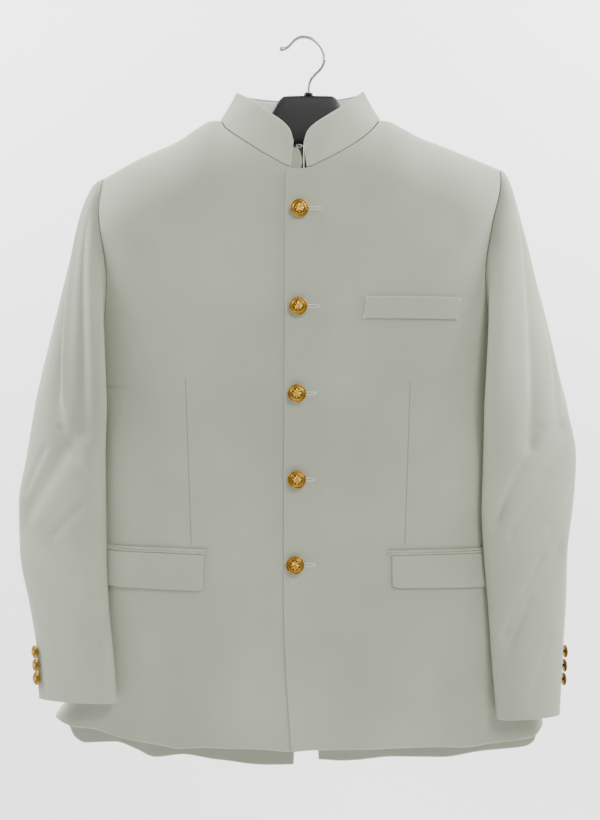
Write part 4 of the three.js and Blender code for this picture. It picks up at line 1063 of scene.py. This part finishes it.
for number, (x, z) in enumerate(FRONT_BUTTONS, 1):
    spot = on_front(1, np.array(float(x)), np.array(float(z)), SEAM_GAP + BUTTON_STAND)
    add_button("front_button_%d" % number, spot, np.array((0.0, -1.0, 0.0)), FRONT_BUTTON_R, 60, 120)
for hand, side, turn, face_turn, heights in CUFF_BUTTONS:
    cuff = SLEEVE_ROWS[side]["z"][0]
    biceps = SLEEVE_ROWS[side]["z"][-1]
    for number, z in enumerate(heights, 1):
        down = CAP_PART + (1 - CAP_PART) * (z - biceps) / (cuff - biceps)
        spot = sleeve_point(side, turn, down, 0)
        ahead = sleeve_point(side, face_turn + FACE_TURN_STEP, down, 0)
        run = ahead - sleeve_point(side, face_turn - FACE_TURN_STEP, down, 0)
        axis = np.array((run[1], -run[0], 0))
        axis = axis / np.linalg.norm(axis)
        axis = axis * np.sign(axis[0] * side)
        base = spot + axis * (SEAM_GAP + BUTTON_STAND)
        add_button("cuff_button_%s_%d" % (hand, number), base, axis, CUFF_BUTTON_R, 44, 90)


# Buttonholes and tacks. Slits worked round in pale thread run out from under the front buttons on the
# lap, and short bars of the same thread hold the ends of the breast welt. They are sewing on the cloth
# and stand for no solid.
thread = Finish("pale_thread")
thread_uv = thread.coords("UV")
thread_twist = thread.add("TexWave", {"Vector": thread_uv, "Scale": 900.0, "Distortion": 0.6},
                          bands_direction="DIAGONAL")
thread_tone = thread.noise(thread.coords("Object"), 500, 2)
thread.set(
    Base_Color=thread.tones(thread_tone, (0.60, 0.62, 0.52, 1), (0.74, 0.75, 0.66, 1)),
    Roughness=thread.fade(thread_twist.outputs[1], 0.2, 0.8, 0.5, 0.65),
    Normal=thread.bump(thread_twist.outputs[1], 0.5, 0.0001),
)
HOLE_ENDS = [17.4, 16.3, 13.0, 11.4, 11.9]
HOLE_START = 6.0
HOLE_HALF = 1.5
HOLE_THREAD = 0.55
HOLE_STITCH = 0.9
HOLE_POINTS = 160
HOLE_OPENING = 0.02
HOLE_SINK = 0.15
for number, ((x, z), hole_end) in enumerate(zip(FRONT_BUTTONS, HOLE_ENDS), 1):
    first = x + HOLE_START
    half = (hole_end - first) / 2
    sweep = np.linspace(HOLE_OPENING, 2 * np.pi - HOLE_OPENING, HOLE_POINTS)
    loop_x = first + half - half * np.cos(sweep)
    loop_z = z + HOLE_HALF * np.sign(np.sin(sweep)) * np.abs(np.sin(sweep)) ** 0.5
    ripple = 1 + 0.22 * np.cos(2 * np.pi * loop_x / HOLE_STITCH)
    hole = tube(
        "buttonhole_%d_thread" % number,
        on_front(1, loop_x, loop_z, HOLE_SINK),
        HOLE_THREAD * ripple,
        thread.material,
        8,
    )
TACKS = [(68.6, -303.4), (171.2, -304.2), (65.0, -324.6), (167.4, -325.6)]
TACK_HALF = 2.6
TACK_THREAD = 0.5
TACK_POINTS = 24
for number, (x, z) in enumerate(TACKS, 1):
    rise = np.linspace(-TACK_HALF, TACK_HALF, TACK_POINTS)
    lean = WELT_LEAN / (WELT_HIGH - WELT_LOW) * rise
    round_end = np.sqrt(np.clip(1 - (rise / (TACK_HALF + 0.1)) ** 2, 0.05, 1))
    bar = tube(
        "welt_tack_%d_thread" % number,
        on_front(1, x + lean, z + rise, SEAM_GAP + PATCH_WALL),
        TACK_THREAD * round_end * (1 + 0.15 * np.cos(9 * rise)),
        thread.material,
        8,
    )


# Hanger. One moulding of black plastic with a satin skin, arms under the shoulders and a raised neck in
# the middle, and a bright steel hook that stands in a black boss on it. The shoulders lie on the arms.
HANGER = table("x top low thick", [  # a top of 0 lies just under the shoulders
    (-214, 0, -170, 9),
    (-206, 0, -172, 11),
    (-160, 0, -155, 12),
    (-100, -100.2, -129, 12),
    (-74, -95, -121, 12),
    (-48, -91, -119, 12),
    (-37.5, -86, -121, 12),
    (-33, -78, -121.5, 12),
    (-28, -70.5, -122, 12),
    (-22, -66.6, -122, 12),
    (0, -66, -122, 12),
    (31, -66.4, -122, 12),
    (36.5, -69, -121.5, 12),
    (41, -76, -121, 12),
    (44, -86, -120, 12),
    (55, -92, -119, 12),
    (92, -101, -125, 12),
    (150, 0, -148, 12),
    (200, 0, -163, 11),
    (209, 0, -161, 9),
])
ARM_GAP = 0.5
HANGER_SIDES = 48
HANGER_RIGHT = -214
HANGER_LEFT = 209
ARM_END_ROUND = 4
ARM_SQUARE = 2.2
HEAD_SQUARE = 4.0
HEAD_HALF = 50
hanger_top = np.where(
    HANGER["top"] == 0, along(SHOULDER, "x", "z", HANGER["x"]) - CLOTH_WALL - ARM_GAP, HANGER["top"]
)
hanger_rows = dict(HANGER, top=hanger_top)
hanger_x = np.concatenate([
    np.linspace(HANGER_RIGHT, -48, 60), np.linspace(-47, -20, 40), np.linspace(-19, 30, 24),
    np.linspace(31, 56, 40), np.linspace(57, HANGER_LEFT, 56),
])
from_end = np.minimum(hanger_x - HANGER_RIGHT, HANGER_LEFT - hanger_x)
end_round = np.sqrt(np.clip(1 - (1 - np.clip(from_end / ARM_END_ROUND, 0, 1)) ** 2, 0.1, 1))
arm_top = along(hanger_rows, "x", "top", hanger_x)
arm_low = along(hanger_rows, "x", "low", hanger_x)
arm_thick = along(hanger_rows, "x", "thick", hanger_x) * end_round
arm_square = np.where(np.abs(hanger_x) < HEAD_HALF, HEAD_SQUARE, ARM_SQUARE)[:, None]
arm_turn = np.arange(HANGER_SIDES)[None] * 2 * np.pi / HANGER_SIDES
arm_c, arm_s = np.cos(arm_turn), np.sin(arm_turn)
arm_size = (np.abs(arm_c) ** arm_square + np.abs(arm_s) ** arm_square) ** (1 / arm_square)
arm_points = np.stack([
    np.broadcast_to(hanger_x[:, None], arm_size.shape),
    arm_thick[:, None] / 2 * arm_c / arm_size,
    ((arm_top + arm_low) / 2)[:, None] + ((arm_top - arm_low) / 2 * end_round)[:, None] * arm_s / arm_size,
], -1)
arm_faces = [face[::-1] for face in ring_faces(len(hanger_x), HANGER_SIDES)]
arm_uv = np.stack([arm_points[..., 0], arm_points[..., 2]], -1).reshape(-1, 2)
plastic = Finish("black_satin_plastic")
plastic_place = plastic.coords("Object")
plastic_grain = plastic.noise(plastic_place, 700, 3)
plastic_scuff = plastic.noise(plastic.stretch(plastic_place, 1, 1, 4), 40, 4, 0.65)
plastic.set(
    Base_Color=plastic.tones(plastic_scuff, (0.004, 0.004, 0.005, 1), (0.009, 0.009, 0.010, 1), 0.35, 0.75),
    Roughness=plastic.fade(plastic_scuff.outputs[0], 0.3, 0.75, 0.42, 0.6),
    Normal=plastic.bump(plastic_grain, 0.12, 0.0001),
)
hanger = add_mesh("hanger_moulding", arm_points.reshape(-1, 3), arm_faces, arm_uv, plastic.material)
dress("hanger")

HOOK_LINE = [  # x, z and radius, from the boss to the tip
    (5.1, -65.6, 5.2), (5.1, -63.4, 5.2), (5.1, -62.9, 4.6), (5.15, -62.8, 1.8),
    (5.3, -56, 1.8), (5.8, -52, 1.8), (8, -46.9, 1.8), (13.8, -40.3, 1.8), (18.4, -35.6, 1.8),
    (21.4, -30.6, 1.8), (23, -25, 1.8), (22.9, -19, 1.8), (20.7, -12.4, 1.8), (16.4, -6.2, 1.8),
    (11, -1.7, 1.8), (5.6, 0.9, 1.8), (0, 1.8, 1.8), (-5.4, 1, 1.8), (-10.4, -1.6, 1.8), (-15, -6, 1.8),
    (-19, -10.2, 1.8), (-22.2, -11.7, 1.8), (-24, -12, 2.3), (-26, -12.1, 2.5), (-27.6, -12.1, 2),
    (-28.4, -12.1, 1),
]
BOSS_ROWS = 4
BOSS_TOP = -62.85
hook_rows = table("key x z r", [(key, *row) for key, row in enumerate(HOOK_LINE)])
hook_fine = np.concatenate([np.arange(0, BOSS_ROWS, 0.25), np.linspace(BOSS_ROWS, len(HOOK_LINE) - 1, 150)])
hook_x, hook_z, hook_r = (along(hook_rows, "key", column, hook_fine) for column in "xzr")
hook_path = np.stack([hook_x, np.zeros(len(hook_x)), hook_z], -1)
wire, wire_place, wire_tone = drawn_steel(
    "polished_steel_hook", (0.40, 0.41, 0.43, 1), (0.54, 0.55, 0.56, 1), 0.16, 0.34
)
wire_height = wire.add("SeparateXYZ", {"Vector": wire_place}).outputs["Z"]
wire_bare = wire.math("GREATER_THAN", wire_height, BOSS_TOP * MM)
wire.set(Base_Color=wire.blend(wire_bare, (0.006, 0.006, 0.007, 1), wire_tone), Metallic=wire_bare)
hook = tube("hanger_hook_steel", hook_path, hook_r, wire.material, 24)
dress("hanger_hook")


# Stage. A pale floor that curves up into a near-white wall behind the jacket. The main lamp stands high
# in front on the right of the picture, with weak ones at the left and in front, and two lamps on the wall.
FLOOR_Z = -1.6
FLOOR_HALF = 4
FLOOR_STEPS = 10
COVE_START = 0.5
COVE_RADIUS = 0.9
WALL_TOP = 2.6
cove_turn = np.linspace(0, QUARTER, 16)[1:]
floor_y = np.linspace(-FLOOR_HALF, COVE_START, FLOOR_STEPS)
bend_z = FLOOR_Z + COVE_RADIUS - COVE_RADIUS * np.cos(cove_turn)
cove_y = np.concatenate([floor_y, COVE_START + COVE_RADIUS * np.sin(cove_turn), [COVE_START + COVE_RADIUS]])
cove_z = np.concatenate([np.full(FLOOR_STEPS, FLOOR_Z), bend_z, [WALL_TOP]])
cove_x = np.linspace(-FLOOR_HALF, FLOOR_HALF, 9)
cove_points = np.array([(x, y, z) for x in cove_x for y, z in zip(cove_y, cove_z)]) / MM
cove_count = len(cove_y)
cove_faces = []
for i in range(len(cove_x) - 1):
    for j in range(cove_count - 1):
        a = i * cove_count + j
        cove_faces.append([a, a + cove_count, a + cove_count + 1, a + 1])
wall_paint = Finish("pale_backdrop")
wall_cloud = wall_paint.noise(wall_paint.coords("Object"), 1.5, 2)
wall_paint.set(
    Base_Color=wall_paint.tones(wall_cloud, (0.93, 0.93, 0.93, 1), (0.96, 0.96, 0.96, 1), 0.2, 0.8),
    Roughness=0.9,
)
cove_mesh = bpy.data.meshes.new("backdrop")
cove_mesh.from_pydata(cove_points * MM, [], cove_faces)
cove_mesh.update()
cove_mesh.shade_smooth()
cove_mesh.materials.append(wall_paint.material)
link("backdrop", cove_mesh)


def soft_light(name, place, aim, size, power, tint):
    """A soft lamp at a place, turned to a point, all in metres."""
    data = bpy.data.lights.new(name, "AREA")
    data.shape = "RECTANGLE"
    data.size, data.size_y = size
    data.energy = power
    data.color = tint
    lamp = link(name, data)
    lamp.location = place
    lamp.rotation_euler = (Vector(aim) - Vector(place)).to_track_quat("-Z", "Y").to_euler()


soft_light("key", (1.15, -2.5, 1.45), (0, 0, -0.4), (1.0, 1.0), 70, (1.0, 0.985, 0.955))
soft_light("fill_left", (-2.4, -2.2, 0.1), (0, 0, -0.45), (1.6, 2.2), 7, (0.98, 0.99, 1.0))
soft_light("fill_front", (0.2, -3.0, -0.2), (0, 0, -0.5), (1.2, 1.6), 10, (1.0, 0.99, 0.97))
soft_light("wall_wash_left", (-1.3, 0.2, 0.9), (-0.6, 1.4, -0.4), (1.0, 1.6), 95, (1.0, 1.0, 1.0))
soft_light("wall_wash_right", (1.3, 0.2, 0.9), (0.6, 1.4, -0.4), (1.0, 1.6), 95, (1.0, 1.0, 1.0))

world = bpy.data.worlds.new("studio")
bpy.context.scene.world = world
world.use_nodes = True
world.node_tree.nodes["Background"].inputs["Color"].default_value = (0.9, 0.93, 0.96, 1)
world.node_tree.nodes["Background"].inputs["Strength"].default_value = 0.28

camera_data = bpy.data.cameras.new("camera")
camera_data.lens = 61.07
camera_data.sensor_width = 36
camera = link("camera", camera_data)
camera.location = (-0.0046, -1.6, -0.4272)
camera.rotation_euler = (QUARTER, 0, 0)
bpy.context.scene.camera = camera
